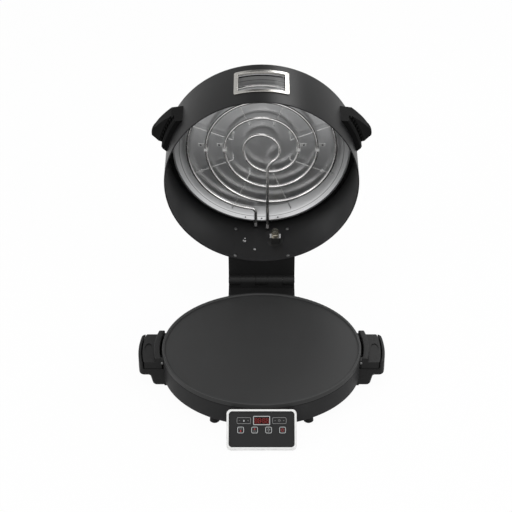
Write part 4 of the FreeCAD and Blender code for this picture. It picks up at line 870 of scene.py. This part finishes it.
@dataclass(frozen=True)
class Seat:
    """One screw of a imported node: its head's top, the way out of it, and its sizes."""

    head_share: ClassVar[float] = 0.8
    tip_reach: ClassVar[float] = 0.5

    top: Vector
    out: Vector
    head_r: float
    head_h: float
    shank_r: float
    length: float

    @classmethod
    def of(cls, points: np.ndarray) -> "Seat":
        """Measure a screw, whose axis is the direction unlike the other two.

        Args:
            points: places of its corners in millimetres.

        Returns:
            The seat.
        """
        share, spread = np.linalg.eigh(np.cov((points - points.mean(0)).T))
        odd = 2 if share[1] - share[0] < share[2] - share[1] else 0
        axis, sides = spread[:, odd], np.delete(spread, odd, axis=1)
        flat = points @ sides
        middle = (flat.max(0) + flat.min(0)) / 2
        radius = np.linalg.norm(flat - middle, axis=1)
        along = points @ axis
        if along[radius.argmax()] < (along.max() + along.min()) / 2:
            axis, along = -axis, -along
        wide = along[radius > cls.head_share * radius.max()]
        shank = radius[along < along.min() + cls.tip_reach].max()
        top = sides @ middle + axis * along.max()
        return cls(Vector(top), Vector(axis), float(radius.max()),
                   float(along.max() - wide.min()), float(shank), float(along.max() - along.min()))


def islands(node: str) -> list[np.ndarray]:
    """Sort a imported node's corners by separate solid.

    Args:
        node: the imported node.

    Returns:
        Places of each solid's corners in millimetres.
    """
    work = bmesh.new()
    work.from_mesh(merged(node))
    left = set(work.verts)
    found = []
    while left:
        stack = [left.pop()]
        group = []
        while stack:
            vert = stack.pop()
            group.append(vert.co[:])
            near = [e.other_vert(vert) for e in vert.link_edges]
            fresh = [v for v in near if v in left]
            left.difference_update(fresh)
            stack.extend(fresh)
        found.append(np.array(group) / MM)
    work.free()
    return found


def plus(arm: float, half: float) -> Loop:
    """Draw a plus sign about the origin.

    Args:
        arm: length of its arms from the middle.
        half: half of their width.

    Returns:
        Its outline.
    """
    loop: Loop = []
    quarter = [(half, half), (half, arm), (-half, arm)]
    for _ in range(4):
        loop += quarter
        quarter = [(-y, x) for x, y in quarter]
    return loop


@dataclass
class ScrewSet:
    """Cross-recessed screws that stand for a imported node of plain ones.

    dome holds shares of the head's radius and height, from the top down.
    """

    node: str
    look: Look
    sides: int = 28
    dome: tuple[Flat, ...] = ((0.45, 0.03), (0.80, 0.16), (0.96, 0.42), (1.0, 0.75), (1.0, 1.0))
    tip_length: float = 0.4
    tip_share: float = 0.8
    slot_share: float = 0.62
    slot_width: float = 0.26
    slot_depth: float = 0.55
    crisp: float = 35.0

    def pattern(self, seat: Seat) -> bpy.types.Object:
        """Make a screw that stands upright with its head's top at the origin.

        Args:
            seat: the sizes to follow.

        Returns:
            The screw's object.
        """
        shank, length = seat.shank_r, seat.length
        profile = [(0.0, 0.0)] + [(r * seat.head_r, -h * seat.head_h) for r, h in self.dome]
        profile += [(shank, -seat.head_h), (shank, self.tip_length - length),
                    (self.tip_share * shank, -length), (0.0, -length)]
        screw = spun_solid(self.node + "_pattern", profile, self.sides)
        cross = self.cross(seat.head_r, seat.head_h)
        cut = screw.modifiers.new("recess", "BOOLEAN")
        cut.operation = "DIFFERENCE"
        cut.solver = "EXACT"
        cut.object = cross
        settle(screw)
        bpy.data.objects.remove(cross)
        return screw

    def cross(self, radius: float, height: float) -> bpy.types.Object:
        """Make the cross-shaped plug that cuts the recess.

        Args:
            radius: the head's radius.
            height: the head's height.

        Returns:
            The plug's object.
        """
        outline = plus(self.slot_share * radius, self.slot_width * radius / 2)
        levels = (-self.slot_depth * height, height)
        points = [Vector((x, y, z)) for z in levels for x, y in outline]
        return solid(self.node + "_cross", points, prism_faces(len(outline)))

    def build(self, tree: GeoTree) -> None:
        """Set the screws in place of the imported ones.

        Args:
            tree: the tree that sets a screw on each point.
        """
        seats = [Seat.of(points) for points in islands(self.node)]
        screw = self.pattern(seats[0])
        made = plain(self.node + "_set", [seat.top for seat in seats])
        aim = made.data.attributes.new("aim", "FLOAT_VECTOR", "POINT")
        aim.data.foreach_set("vector", [c for seat in seats for c in seat.out])
        tree.grow(made, {"Screw": screw, "Material": self.look.material()}, self.crisp)
        bpy.data.objects.remove(screw)
        finish_piece(made, self.look, body_of(self.node), self.node)


class SubAssembly:
    """A group of pieces that is dressed together."""

    skins: ClassVar[dict[Look, tuple[str, ...]]] = {}
    screws: ClassVar[dict[str, Look]] = {}

    def dress(self, tree: GeoTree) -> None:
        """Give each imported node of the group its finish, and its screws their recesses.

        Args:
            tree: the tree that sets a screw on each point.
        """
        for look, nodes in self.skins.items():
            for node in nodes:
                skin(node, look)
        for node, look in self.screws.items():
            ScrewSet(node, look).build(tree)

    def build(self) -> None:
        """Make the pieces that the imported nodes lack."""


class Base(SubAssembly):
    """Housing with its feet, lower element, boards and cord inlet."""

    skins = {
        Look.HOUSING: ("base_housing", "bottom_cover"),
        Look.RUBBER: ("rubber_feet", "cord_gland"),
        Look.PAN: ("lower_reflector",),
        Look.STEEL: ("lower_heating_element", "lower_element_supports", "plate_sensor",
                     "base_handle_screws"),
        Look.BOARD: ("power_board",),
        Look.MODULE: ("terminal_block",),
    }
    screws = {"foot_screws": Look.STEEL}


class Plate(SubAssembly):
    """Coated baking plate."""

    skins = {Look.COATING: ("baking_plate",)}


@dataclass
class Grips(SubAssembly):
    """Plate handles and the base handles that cradle them.

    A mark's place is found from mark_above downwards, and mark_top is its top's share of its width.
    """

    skins = {Look.PLASTIC: ("left_base_handle", "right_base_handle", "left_plate_handle",
                            "right_plate_handle")}
    screws = {"plate_handle_screws": Look.DARK_STEEL}
    mark_x: float = 234.5
    mark_off: float = 35.0
    mark_length: float = 9.0
    mark_width: float = 1.8
    mark_height: float = 0.35
    mark_sink: float = 0.2
    mark_top: float = 0.7
    mark_above: float = 1000.0
    toe_in_x: float = 191.0
    toe_r: float = 205.1
    toe_top: float = 18.3
    toe_steps: int = 16

    def build(self) -> None:
        """Raised marks, and the brackets' toes under the housing."""
        for side, hand in HANDS:
            self.marks(side, hand + "_plate_handle")
        for side, hand in HANDS:
            self.toe(side, hand + "_base_handle")

    def toe(self, side: int, node: str) -> None:
        """Make the inner end of a base bracket, which reaches in under the housing's edge.

        Args:
            side: -1 on the left and 1 on the right.
            node: the bracket's node.
        """
        low, high = (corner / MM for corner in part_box(node))
        plan: Loop = []
        for i in range(self.toe_steps + 1):
            y = low.y + (high.y - low.y) * i / self.toe_steps
            plan.append((side * math.sqrt(self.toe_r ** 2 - (y - POSE.axis_y) ** 2), y))
        plan += [(side * self.toe_in_x, high.y), (side * self.toe_in_x, low.y)]
        points = [Vector((x, y, z)) for z in (low.z, self.toe_top) for x, y in plan]
        made = solid(node + "_toe", points, prism_faces(len(plan)))
        finish_piece(made, Look.PLASTIC, body_of(node))

    def marks(self, side: int, node: str) -> None:
        """Make the raised marks before and behind a thumb rest.

        Args:
            side: -1 on the left and 1 on the right.
            node: the plate handle's node.
        """
        low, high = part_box(node)
        work = bmesh.new()
        work.from_mesh(frame["nodes"][node].data)
        tree = BVHTree.FromBMesh(work)
        work.free()
        points: list[Vector] = []
        faces: list[Face] = []
        for end in (1, -1):
            faces += prism_faces(len(CORNERS), len(points))
            y = (low.y + high.y) / 2 / MM + end * self.mark_off
            above = Vector((side * self.mark_x, y, self.mark_above))
            seat = tree.ray_cast(above * MM, Vector((0.0, 0.0, -1.0)))[0] / MM
            for lift, shrink in ((-self.mark_sink, 1.0), (self.mark_height, self.mark_top)):
                wide = self.mark_width / 2 * shrink
                long = self.mark_length / 2 - (1.0 - shrink)
                points += [seat + Vector((sx * wide, sy * long, lift)) for sx, sy in CORNERS]
        finish_piece(solid(node + "_marks", points, faces), Look.PLASTIC, body_of(node))


class Hinge(SubAssembly):
    """Brackets of base and lid, their screws and the pin."""

    skins = {
        Look.BRACKET: ("base_hinge_bracket", "lid_hinge_bracket"),
        Look.STEEL: ("base_bracket_screws",),
        Look.DARK_STEEL: ("hinge_pin",),
    }
    screws = {"lid_bracket_screws": Look.DARK_STEEL}


@dataclass(frozen=True)
class PanelPlane:
    """The sloped panel's own directions: u to the right, v up the slope, n out of the face."""

    v: Vector
    n: Vector

    @classmethod
    def from_frame(cls) -> "PanelPlane":
        """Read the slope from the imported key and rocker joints."""
        v, into = joint("timer_rocker_tilt")["axis"], joint("power_key_press")["axis"]
        return cls(Vector(v), -Vector(into))

    def at(self, u: float, v: float, n: float) -> Vector:
        """Place of panel coordinates."""
        return Vector((u, 0.0, 0.0)) + self.v * v + self.n * n

    def span(self, node: str, direction: Vector) -> Flat:
        """Lowest and highest reach of a node along a direction."""
        reach = [v.co.dot(direction) / MM for v in frame["nodes"][node].data.vertices]
        return min(reach), max(reach)

    def middle(self, node: str) -> Triple:
        """Middle of a node in u and v, and its outermost n."""
        u, v = (sum(self.span(node, way)) / 2 for way in (Vector((1.0, 0.0, 0.0)), self.v))
        return u, v, self.span(node, self.n)[1]


def rounded(width: float, height: float, corner: float, steps: int = 6) -> Loop:
    """Draw a rounded rectangle about the origin.

    Args:
        width: its width.
        height: its height.
        corner: radius of its corners.
        steps: straight pieces in each corner.

    Returns:
        Its outline.
    """
    loop = []
    for k, (sx, sy) in enumerate(((1, 1), (-1, 1), (-1, -1), (1, -1))):
        for i in range(steps + 1):
            t = math.pi / 2 * (k + i / steps)
            loop.append((sx * (width / 2 - corner) + corner * math.cos(t),
                         sy * (height / 2 - corner) + corner * math.sin(t)))
    return loop


def bow(radius: float, start: float, end: float, steps: int, middle: Flat = (0.0, 0.0)) -> Loop:
    """Points of an arc between two angles in degrees."""
    turns = [math.radians(start + (end - start) * i / steps) for i in range(steps + 1)]
    return [(middle[0] + radius * math.cos(t), middle[1] + radius * math.sin(t)) for t in turns]


@dataclass
class Print:
    """Shapes printed on one surface of the panel, each a closed film that sinks in a little."""

    plane: PanelPlane
    origin: Triple
    film: float = 0.05
    sink: float = 0.02
    points: list[Vector] = field(default_factory=list)
    faces: list[Face] = field(default_factory=list)

    def _lift(self, loop: Loop) -> int:
        """Add a loop at the foot and at the top of the film.

        Args:
            loop: the loop.

        Returns:
            Place of its first corner.
        """
        first = len(self.points)
        u0, v0, n0 = self.origin
        for n in (n0 - self.sink, n0 + self.film):
            self.points += [self.plane.at(u0 + u, v0 + v, n) for u, v in loop]
        return first

    def fill(self, loop: Loop, at: Flat = (0.0, 0.0)) -> "Print":
        """Add a filled shape, whose outline is shifted."""
        self.faces += prism_faces(len(loop), self._lift([(u + at[0], v + at[1]) for u, v in loop]))
        return self

    def line(self, path: Sequence[Flat], width: float, closed: bool = False,
             at: Flat = (0.0, 0.0)) -> "Print":
        """Add a line along a path.

        Args:
            path: the line's middle.
            width: the line's width.
            closed: whether its ends meet.
            at: shift of the path.

        Returns:
            The print.
        """
        n = len(path)
        sides: tuple[Loop, Loop] = ([], [])
        for i, (u, v) in enumerate(path):
            before = path[(i - 1) % n] if closed or i else path[i]
            after = path[(i + 1) % n] if closed or i < n - 1 else path[i]
            run = Vector((after[0] - before[0], after[1] - before[1])).normalized()
            for side, sign in zip(sides, (1, -1)):
                side.append((at[0] + u - sign * run.y * width / 2,
                             at[1] + v + sign * run.x * width / 2))
        a, b = self._lift(sides[0]), self._lift(sides[1])
        for i in range(n if closed else n - 1):
            j = (i + 1) % n
            self.faces += [
                (a + i, b + i, b + j, a + j), (a + n + i, a + n + j, b + n + j, b + n + i),
                (a + i, a + j, a + n + j, a + n + i), (b + i, b + n + i, b + n + j, b + j)]
        if not closed:
            for k in (0, n - 1):
                self.faces.append((a + k, a + n + k, b + n + k, b + k))
        return self

    def place(self, name: str, look: Look, body: str) -> None:
        """Make the print and hang it on a body."""
        finish_piece(solid(name, self.points, self.faces), look, body)


@dataclass
class ControlPanel(SubAssembly):
    """Sloped key panel with its prints and digits.

    Rings and the inlay are given by width, height and line, and a sweep by its first and last
    angle and its steps. Names that end in _v are heights up the slope from a key's middle, and
    heat holds each heat key with its flame's and waves' own.
    """

    keys: ClassVar[tuple[str, ...]] = ("lower_heat_key", "upper_heat_key", "lamp_key", "power_key")
    rockers: ClassVar[tuple[str, ...]] = ("temperature_rocker", "timer_rocker")
    skins = {
        Look.FACE: ("panel_face", "panel_housing"),
        Look.SILVER: ("panel_frame",),
        Look.LENS: ("display_lens",),
        Look.MODULE: ("display_module", "tact_switches"),
        Look.KEY: keys + rockers,
        Look.BOARD: ("control_board",),
        Look.STEEL: ("panel_screws",),
    }
    flame_half: ClassVar[tuple[Flat, ...]] = (
        (0.0, 0.58), (0.10, 0.36), (0.26, 0.14), (0.34, -0.08), (0.32, -0.26), (0.20, -0.38),
        (0.0, -0.42))
    flame_left: ClassVar[float] = 0.92

    plane: PanelPlane = field(default_factory=PanelPlane.from_frame)
    key_ring: Triple = (11.6, 11.6, 1.25)
    rocker_ring: Triple = (26.6, 12.0, 0.9)
    ring_corner: float = 2.4
    display_ring: Triple = (31.4, 16.4, 1.7)
    display_corner: float = 1.2
    inlay: Triple = (125.5, 68.1, 2.6)
    inlay_corner: float = 5.5
    digit_places: tuple[float, ...] = (-10.8, -4.3, 4.3, 10.8)
    digit_size: Flat = (4.2, 9.2)
    stroke: float = 0.85
    bar_tip: float = 0.15
    post_tip: float = 0.2
    dot_r: float = 0.6
    dot_sweep: Sweep = (0.0, 330.0, 11)
    dot_v: float = 1.7
    sign_reach: float = 8.4
    sign_arm: float = 1.3
    sign_half: float = 0.28
    clock_r: float = 2.2
    clock_sweep: Sweep = (0.0, 346.0, 28)
    clock_hands: tuple[Flat, ...] = ((0.0, 1.5), (0.0, 0.0), (1.1, 0.0))
    fine_line: float = 0.5
    drop_height: float = 4.6
    drop_v: float = -0.3
    heat: tuple[tuple[str, float, float], ...] = (
        ("lower_heat_key", -1.9, 2.2), ("upper_heat_key", 2.0, -2.3))
    flame_height: float = 4.4
    wave_places: tuple[float, ...] = (-2.0, 0.0, 2.0)
    wave_swing: float = 0.35
    wave_length: float = 2.6
    wave_line: float = 0.55
    wave_steps: int = 8
    bulb_r: float = 1.75
    bulb_v: float = 0.3
    bulb_sweep: Sweep = (-55.0, 235.0, 26)
    bulb_foot: tuple[float, ...] = (-1.5, -2.3)
    bulb_foot_half: float = 0.9
    rays: tuple[float, ...] = (0.0, 45.0, 90.0, 135.0, 180.0)
    ray_reach: Flat = (2.6, 3.6)
    ray_line: float = 0.45
    power_r: float = 2.7
    power_sweep: Sweep = (122.0, 418.0, 34)
    power_bar: tuple[Flat, ...] = ((0.0, 0.9), (0.0, 3.6))
    power_line: float = 0.9

    def on(self, node: str) -> Print:
        """Print on a node's face."""
        return Print(self.plane, self.plane.middle(node))

    def build(self) -> None:
        """Outlines, signs and digits."""
        for node in self.keys:
            self.ring(node, self.key_ring, self.ring_corner, node + "_ring", Look.PRINT)
        for node in self.rockers:
            self.ring(node, self.rocker_ring, self.ring_corner, node + "_ring", Look.GREY_PRINT)
            self.signs(node)
        self.ring("display_lens", self.display_ring, self.display_corner, "display_ring",
                  Look.PRINT)
        self.ring("panel_frame", self.inlay, self.inlay_corner, "panel_inlay", Look.FACE)
        self.heat_signs()
        self.lamp_sign()
        self.power_sign()
        self.digits()

    def ring(self, node: str, size: Triple, corner: float, name: str, look: Look) -> None:
        """Print an outline on a node's face.

        Args:
            node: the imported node.
            size: the outline's width, height and line.
            corner: radius of its corners.
            name: the print's name.
            look: its finish.
        """
        wide, high, width = size
        made = self.on(node).line(rounded(wide, high, corner), width, True)
        made.place(name, look, body_of(node))

    def signs(self, node: str) -> None:
        """Print minus and plus at a rocker's ends, and a clock or a drop between them.

        Args:
            node: the rocker's node.
        """
        arm, half = self.sign_arm, self.sign_half
        marks = self.on(node)
        marks.fill([(sx * arm, sy * half) for sx, sy in CORNERS], (-self.sign_reach, 0.0))
        marks.fill(plus(arm, half), (self.sign_reach, 0.0))
        if node == "timer_rocker":
            marks.line(bow(self.clock_r, *self.clock_sweep), self.fine_line, True)
            marks.line(self.clock_hands, self.fine_line)
        else:
            drop = self.on(node).fill(self.flame(self.drop_height), (0.0, self.drop_v))
            drop.place(node + "_drop", Look.PRINT, body_of(node))
        marks.place(node + "_signs", Look.GREY_PRINT, body_of(node))

    def flame(self, height: float) -> Loop:
        """Outline of a flame about the origin."""
        right = [(u * height, v * height) for u, v in self.flame_half]
        return right + [(-u * self.flame_left, v) for u, v in reversed(right[1:-1])]

    def heat_signs(self) -> None:
        """Flame and heat waves: flame below for the lower element, above for the upper one."""
        turns = [k / self.wave_steps for k in range(self.wave_steps + 1)]
        wave = [(self.wave_swing * math.sin(2 * math.pi * k), self.wave_length * (k - 0.5))
                for k in turns]
        for node, flame_v, wave_v in self.heat:
            waves = self.on(node)
            for u in self.wave_places:
                waves.line(wave, self.wave_line, False, (u, wave_v))
            waves.place(node + "_waves", Look.GREY_PRINT, body_of(node))
            flame = self.on(node).fill(self.flame(self.flame_height), (0.0, flame_v))
            flame.place(node + "_flame", Look.RED_PRINT, body_of(node))

    def lamp_sign(self) -> None:
        """Bulb with rays."""
        node, middle = "lamp_key", (0.0, self.bulb_v)
        bulb = self.on(node).line(bow(self.bulb_r, *self.bulb_sweep, middle), self.fine_line)
        for v in self.bulb_foot:
            bulb.line([(-self.bulb_foot_half, v), (self.bulb_foot_half, v)], self.fine_line)
        for t in self.rays:
            ray = [bow(r, t, t, 1, middle)[0] for r in self.ray_reach]
            bulb.line(ray, self.ray_line)
        bulb.place(node + "_bulb", Look.PRINT, body_of(node))

    def power_sign(self) -> None:
        """Ring with a bar."""
        node = "power_key"
        ring = self.on(node).line(bow(self.power_r, *self.power_sweep), self.power_line)
        ring.line(self.power_bar, self.power_line)
        ring.place(node + "_sign", Look.RED_PRINT, body_of(node))

    def digits(self) -> None:
        """Seven-segment digits and a colon on the module behind the lens."""
        wide, high = self.digit_size
        w, h, s = wide / 2, high / 2, self.stroke / 2
        end, tip = w - 2 * s, w - s - self.bar_tip
        bar = [(-tip, 0.0), (-end, s), (end, s), (tip, 0.0), (end, -s), (-end, -s)]
        foot, top = 2 * s, h - 2 * s
        post = [(0.0, self.post_tip), (s, foot), (s, top), (0.0, h - self.post_tip), (-s, top),
                (-s, foot)]
        level = self.on("display_module")
        u0, v0, _ = self.plane.middle("display_lens")
        level.origin = (u0, v0, level.origin[2])
        for place in self.digit_places:
            for v in (-h, 0.0, h):
                level.fill(bar, (place, v))
            for u in (-w, w):
                for v in (-h, 0.0):
                    level.fill(post, (place + u, v))
        for v in (-self.dot_v, self.dot_v):
            level.fill(bow(self.dot_r, *self.dot_sweep), (0.0, v))
        level.place("display_digits", Look.DIGITS, body_of("display_module"))


class LidShell(SubAssembly):
    """Drum with its cover, window, handles and what lies behind the dish."""

    skins = {
        Look.DRUM: ("lid_drum",),
        Look.PAINT: ("lid_top_cover",),
        Look.GRIP: ("left_lid_handle", "right_lid_handle"),
        Look.WINDOW: ("window_frame",),
        Look.PANE: ("window_glass",),
        Look.RUBBER: ("window_gasket",),
        Look.STEEL: ("lid_handle_screws", "dish_standoffs", "thermal_limiter"),
        Look.FIBRE: ("insulation_pad",),
    }


def arc(centre: Vector, radius: float, start: float, end: float, steps: int) -> list[Vector]:
    """Points of a level arc between two angles in radians."""
    turns = [start + (end - start) * i / steps for i in range(steps + 1)]
    return [centre + Vector((math.cos(t), math.sin(t), 0.0)) * radius for t in turns]


@dataclass
class UpperHeat(SubAssembly):
    """Bare spiral element: growing half turns, a swan neck at the middle and two rear legs."""

    skins = {
        Look.DISH: ("reflector_dish",),
        Look.ZINC: ("element_clips",),
        Look.DARK_STEEL: ("clip_rivets",),
        Look.GLAZE: ("terminal_insulators",),
    }
    screws = {"dish_screws": Look.ZINC}
    first_r: float = 39.0
    pitch: float = 40.5
    turns: int = 4
    centre_y: float = -6.0
    height: float = 125.0
    rise: float = 8.0
    swan: float = 50.0
    leg_x: float = 13.0
    bend_r: float = 12.0
    leg_end: float = 211.0
    tube_r: float = 3.3
    tube_sides: int = 20
    turn_steps: int = 60
    bend_steps: int = 12
    wire_r: float = 1.1
    wire_sides: int = 12
    wire_count: int = 8
    wire_inner_r: float = 67.0
    wire_outer_r: float = 169.7
    wire_h: float = 129.7
    wire_foot_h: float = 140.7
    wire_bend_r: float = 3.0
    wire_steps: int = 6
    crisp: float = 40.0

    def path(self) -> list[Vector]:
        """Lay out the tube's middle line on the shut lid.

        Returns:
            Points from the inner leg's end to the outer leg's end.
        """
        hub = Vector((0.0, self.centre_y, self.height))
        low = hub - Vector((0.0, 0.0, self.rise))
        sway = 2 * math.atan2(self.first_r - self.leg_x, self.swan)
        swan_r = self.swan / (2 * math.sin(sway))
        line = [Vector((self.leg_x, self.leg_end, low.z))]
        line += arc(low + Vector((self.leg_x + swan_r, self.swan, 0)), swan_r, math.pi,
                    math.pi + sway, self.bend_steps)
        line += arc(low + Vector((self.first_r - swan_r, 0, 0)), swan_r, sway, 0.0,
                    self.bend_steps)[1:]
        for turn in range(self.turns):
            line += self.half_turn(hub, self.first_r + self.pitch * turn,
                                   0.0 if turn else self.rise)
            if turn < self.turns - 1:
                wide = self.first_r + self.pitch * (turn + 0.5)
                line += arc(hub + Vector((self.pitch / 2, 0, 0)), wide, math.pi, 0.0,
                            self.turn_steps)[1:]
        last = self.first_r + self.pitch * (self.turns - 1)
        lean = math.asin((self.bend_r + self.leg_x) / (last + self.bend_r))
        line += arc(hub, last, math.pi, math.pi / 2 + lean, self.turn_steps // 2)[1:]
        corner = hub + Vector((-math.sin(lean), math.cos(lean), 0)) * (last + self.bend_r)
        line += arc(corner, self.bend_r, lean - math.pi / 2, 0.0, self.bend_steps)[1:]
        line.append(Vector((-self.leg_x, self.leg_end, self.height)))
        return line

    def half_turn(self, hub: Vector, radius: float, climb: float) -> list[Vector]:
        """Front half turn that climbs to the hub's height, without its first point."""
        turns = [math.pi * i / self.turn_steps for i in range(1, self.turn_steps + 1)]
        return [hub + Vector((
            radius * math.cos(t), -math.hypot(radius, climb / 2) * math.sin(t),
            -climb * (1 + math.cos(t)) / 2)) for t in turns]

    def wires(self) -> list[list[Vector]]:
        """Lay out the radial wires on the shut lid.

        Returns:
            Middle line of each wire.
        """
        paths = []
        b = self.wire_bend_r
        for i in range(self.wire_count):
            turn = (i + 0.5) * 2 * math.pi / self.wire_count
            out = Vector((math.cos(turn), math.sin(turn), 0.0))
            path = [out * self.wire_inner_r + Vector((0, 0, self.wire_foot_h))]
            for k in range(self.wire_steps + 1):
                t = math.pi / 2 * k / self.wire_steps
                path.append(out * (self.wire_inner_r + b * (1 - math.cos(t)))
                            + Vector((0, 0, self.wire_h + b * (1 - math.sin(t)))))
            path.append(out * self.wire_outer_r + Vector((0, 0, self.wire_h)))
            paths.append(path)
        return paths

    def build(self) -> None:
        """Make the tube and the wires."""
        tree = tube_tree()
        self.bars(tree, "upper_element_tube", [self.path()], (self.tube_r, self.tube_sides),
                  Look.ELEMENT, "upper_heating_element")
        self.bars(tree, "radial_wires", self.wires(), (self.wire_r, self.wire_sides),
                  Look.WIRE, "element_support_wires")

    def bars(self, tree: GeoTree, name: str, paths: Sequence[Sequence[Vector]],
             section: tuple[float, int], look: Look, node: str) -> None:
        """Make round bars on the open lid.

        Args:
            tree: the tree that draws a round bar along each line.
            name: the piece's name.
            paths: middle lines on the shut lid.
            section: the bars' radius and flats.
            look: the piece's finish.
            node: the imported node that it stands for.
        """
        radius, sides = section
        points: list[Vector] = []
        edges: list[Face] = []
        for path in paths:
            first = len(points)
            points += [POSE.place(p) for p in path]
            edges += [(i, i + 1) for i in range(first, len(points) - 1)]
        made = plain(name, points, edges)
        values = {"Radius": radius * MM, "Sides": sides, "Material": look.material()}
        tree.grow(made, values, self.crisp)
        finish_piece(made, look, body_of(node), node)


class Lamp(SubAssembly):
    """Interior lamp and the studs beside it on the rear wall."""

    skins = {
        Look.CERAMIC: ("lamp_holder",),
        Look.STEEL: ("lamp_plate", "lid_wall_studs"),
        Look.BRASS: ("lamp_cap",),
        Look.BULB: ("lamp_bulb",),
    }


@dataclass(frozen=True)
class SoftBox:
    """Square lamp that faces a target."""

    name: str
    place: Triple
    target: Triple
    size: float
    power: float

    def build(self) -> None:
        """Set the lamp up."""
        data = bpy.data.lights.new(self.name, "AREA")
        data.size = self.size * MM
        data.energy = self.power
        made = link(self.name, data)
        aim = Vector(self.target) - Vector(self.place)
        made.location = Vector(self.place) * MM
        made.rotation_euler = aim.to_track_quat("-Z", "Y").to_euler()
        made.visible_camera = False


@dataclass
class Studio:
    """Floor, lamps, world and the camera at the photo's angle."""

    flag_hidden: ClassVar[tuple[str, ...]] = ("camera", "diffuse", "shadow", "transmission")

    camera_y: float = -2835.77
    camera_z: float = 1949.0
    pitch_deg: float = 31.0
    lens: float = 114.06
    sensor: float = 36.0
    shift_x: float = -5.6 / 512.0
    sight: float = 100000.0
    floor_half: float = 9000.0
    floor_colour: Triple = (0.95, 0.95, 0.95)
    ambient: float = 0.42
    white_share: float = 0.965
    flag_place: Triple = (-45.0, 1230.0, 1450.0)
    flag_target: Triple = (0.0, 230.0, 500.0)
    flag_half: Flat = (205.0, 330.0)
    flag_look: Surface = Surface("flag_cloth", (0.01, 0.01, 0.01), 0.9, specular=0.0)
    boxes: tuple[SoftBox, ...] = (
        SoftBox("top_box", (0.0, -500.0, 2600.0), (0.0, 0.0, 100.0), 2000.0, 20.0),
        SoftBox("left_box", (-2400.0, -1500.0, 1700.0), (0.0, 0.0, 250.0), 1500.0, 20.0),
        SoftBox("right_box", (2400.0, -1500.0, 1700.0), (0.0, 0.0, 250.0), 1500.0, 20.0),
        SoftBox("rear_box", (650.0, 1805.0, 1897.0), (0.0, 230.0, 500.0), 600.0, 11.0),
    )

    def build(self) -> None:
        """Set the studio up."""
        self.make_camera()
        self.make_floor()
        self.make_world()
        self.make_flag()
        for box in self.boxes:
            box.build()
        bpy.context.scene.view_settings.view_transform = "Standard"

    def make_camera(self) -> None:
        """Camera that looks at the front from above."""
        data = bpy.data.cameras.new("camera")
        data.lens = self.lens
        data.sensor_width = self.sensor
        data.shift_x = self.shift_x
        data.clip_end = self.sight * MM
        camera = link("camera", data)
        camera.location = Vector((0.0, self.camera_y, self.camera_z)) * MM
        camera.rotation_euler = (math.radians(90.0 - self.pitch_deg), 0.0, 0.0)
        bpy.context.scene.camera = camera

    @staticmethod
    def shown(graph: Graph) -> Sock:
        """1 for what is seen straight, in a gloss or through glass, and 0 for spread light."""
        seen, glossy, through = (graph.node("ShaderNodeLightPath", out=f"Is {kind} Ray")
                                 for kind in ("Camera", "Glossy", "Transmission"))
        return graph.math("MAXIMUM", graph.math("MAXIMUM", seen, glossy), through)

    def make_floor(self) -> None:
        """White floor that keeps a soft part of the object's shadow."""
        h = self.floor_half
        corners = [Vector((sx * h, sy * h, 0.0)) for sx, sy in CORNERS]
        floor = plain("floor", corners, (), [(0, 1, 2, 3)])
        graph = MaterialGraph("white_floor")
        matt = graph.node("ShaderNodeBsdfDiffuse", {"Color": tinted(self.floor_colour, 0.0)})
        white = graph.node("ShaderNodeEmission", {"Color": WHITE, "Strength": 1.0})
        share = self.shown(graph) * self.white_share
        both = graph.node("ShaderNodeMixShader", {0: share, 1: matt, 2: white})
        floor.data.materials.append(graph.close(both))

    def make_flag(self) -> None:
        """Dark card above and behind the lid that only shows in glossy surfaces."""
        place, (wide, high) = Vector(self.flag_place), self.flag_half
        turn = (Vector(self.flag_target) - place).to_track_quat("-Z", "Y").to_matrix()
        corners = [place + turn @ Vector((sx * wide, sy * high, 0.0)) for sx, sy in CORNERS]
        flag = plain("flag", corners, (), [(0, 1, 2, 3)])
        flag.data.materials.append(self.flag_look.make())
        for ray in self.flag_hidden:
            setattr(flag, "visible_" + ray, False)

    def make_world(self) -> None:
        """White surround that lights the object softly."""
        world = bpy.data.worlds.new("surround")
        bpy.context.scene.world = world
        world.use_nodes = True
        graph = Graph(world.node_tree)
        strength = self.shown(graph) * (1.0 - self.ambient) + self.ambient
        light = graph.node("ShaderNodeBackground", {"Color": WHITE, "Strength": strength})
        graph.node("ShaderNodeOutputWorld", {"Surface": light})


def main() -> None:
    """Build every sub-assembly in order and report each piece."""
    logging.basicConfig(level=logging.INFO, format="%(message)s")
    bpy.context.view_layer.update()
    Studio().build()
    screws = screw_tree()
    parts = (Base(), Plate(), Grips(), Hinge(), ControlPanel(), LidShell(), UpperHeat(), Lamp())
    for part in parts:
        part.dress(screws)
        part.build()
        log.info("%s done", type(part).__name__)


if __name__ == "__main__":
    main()
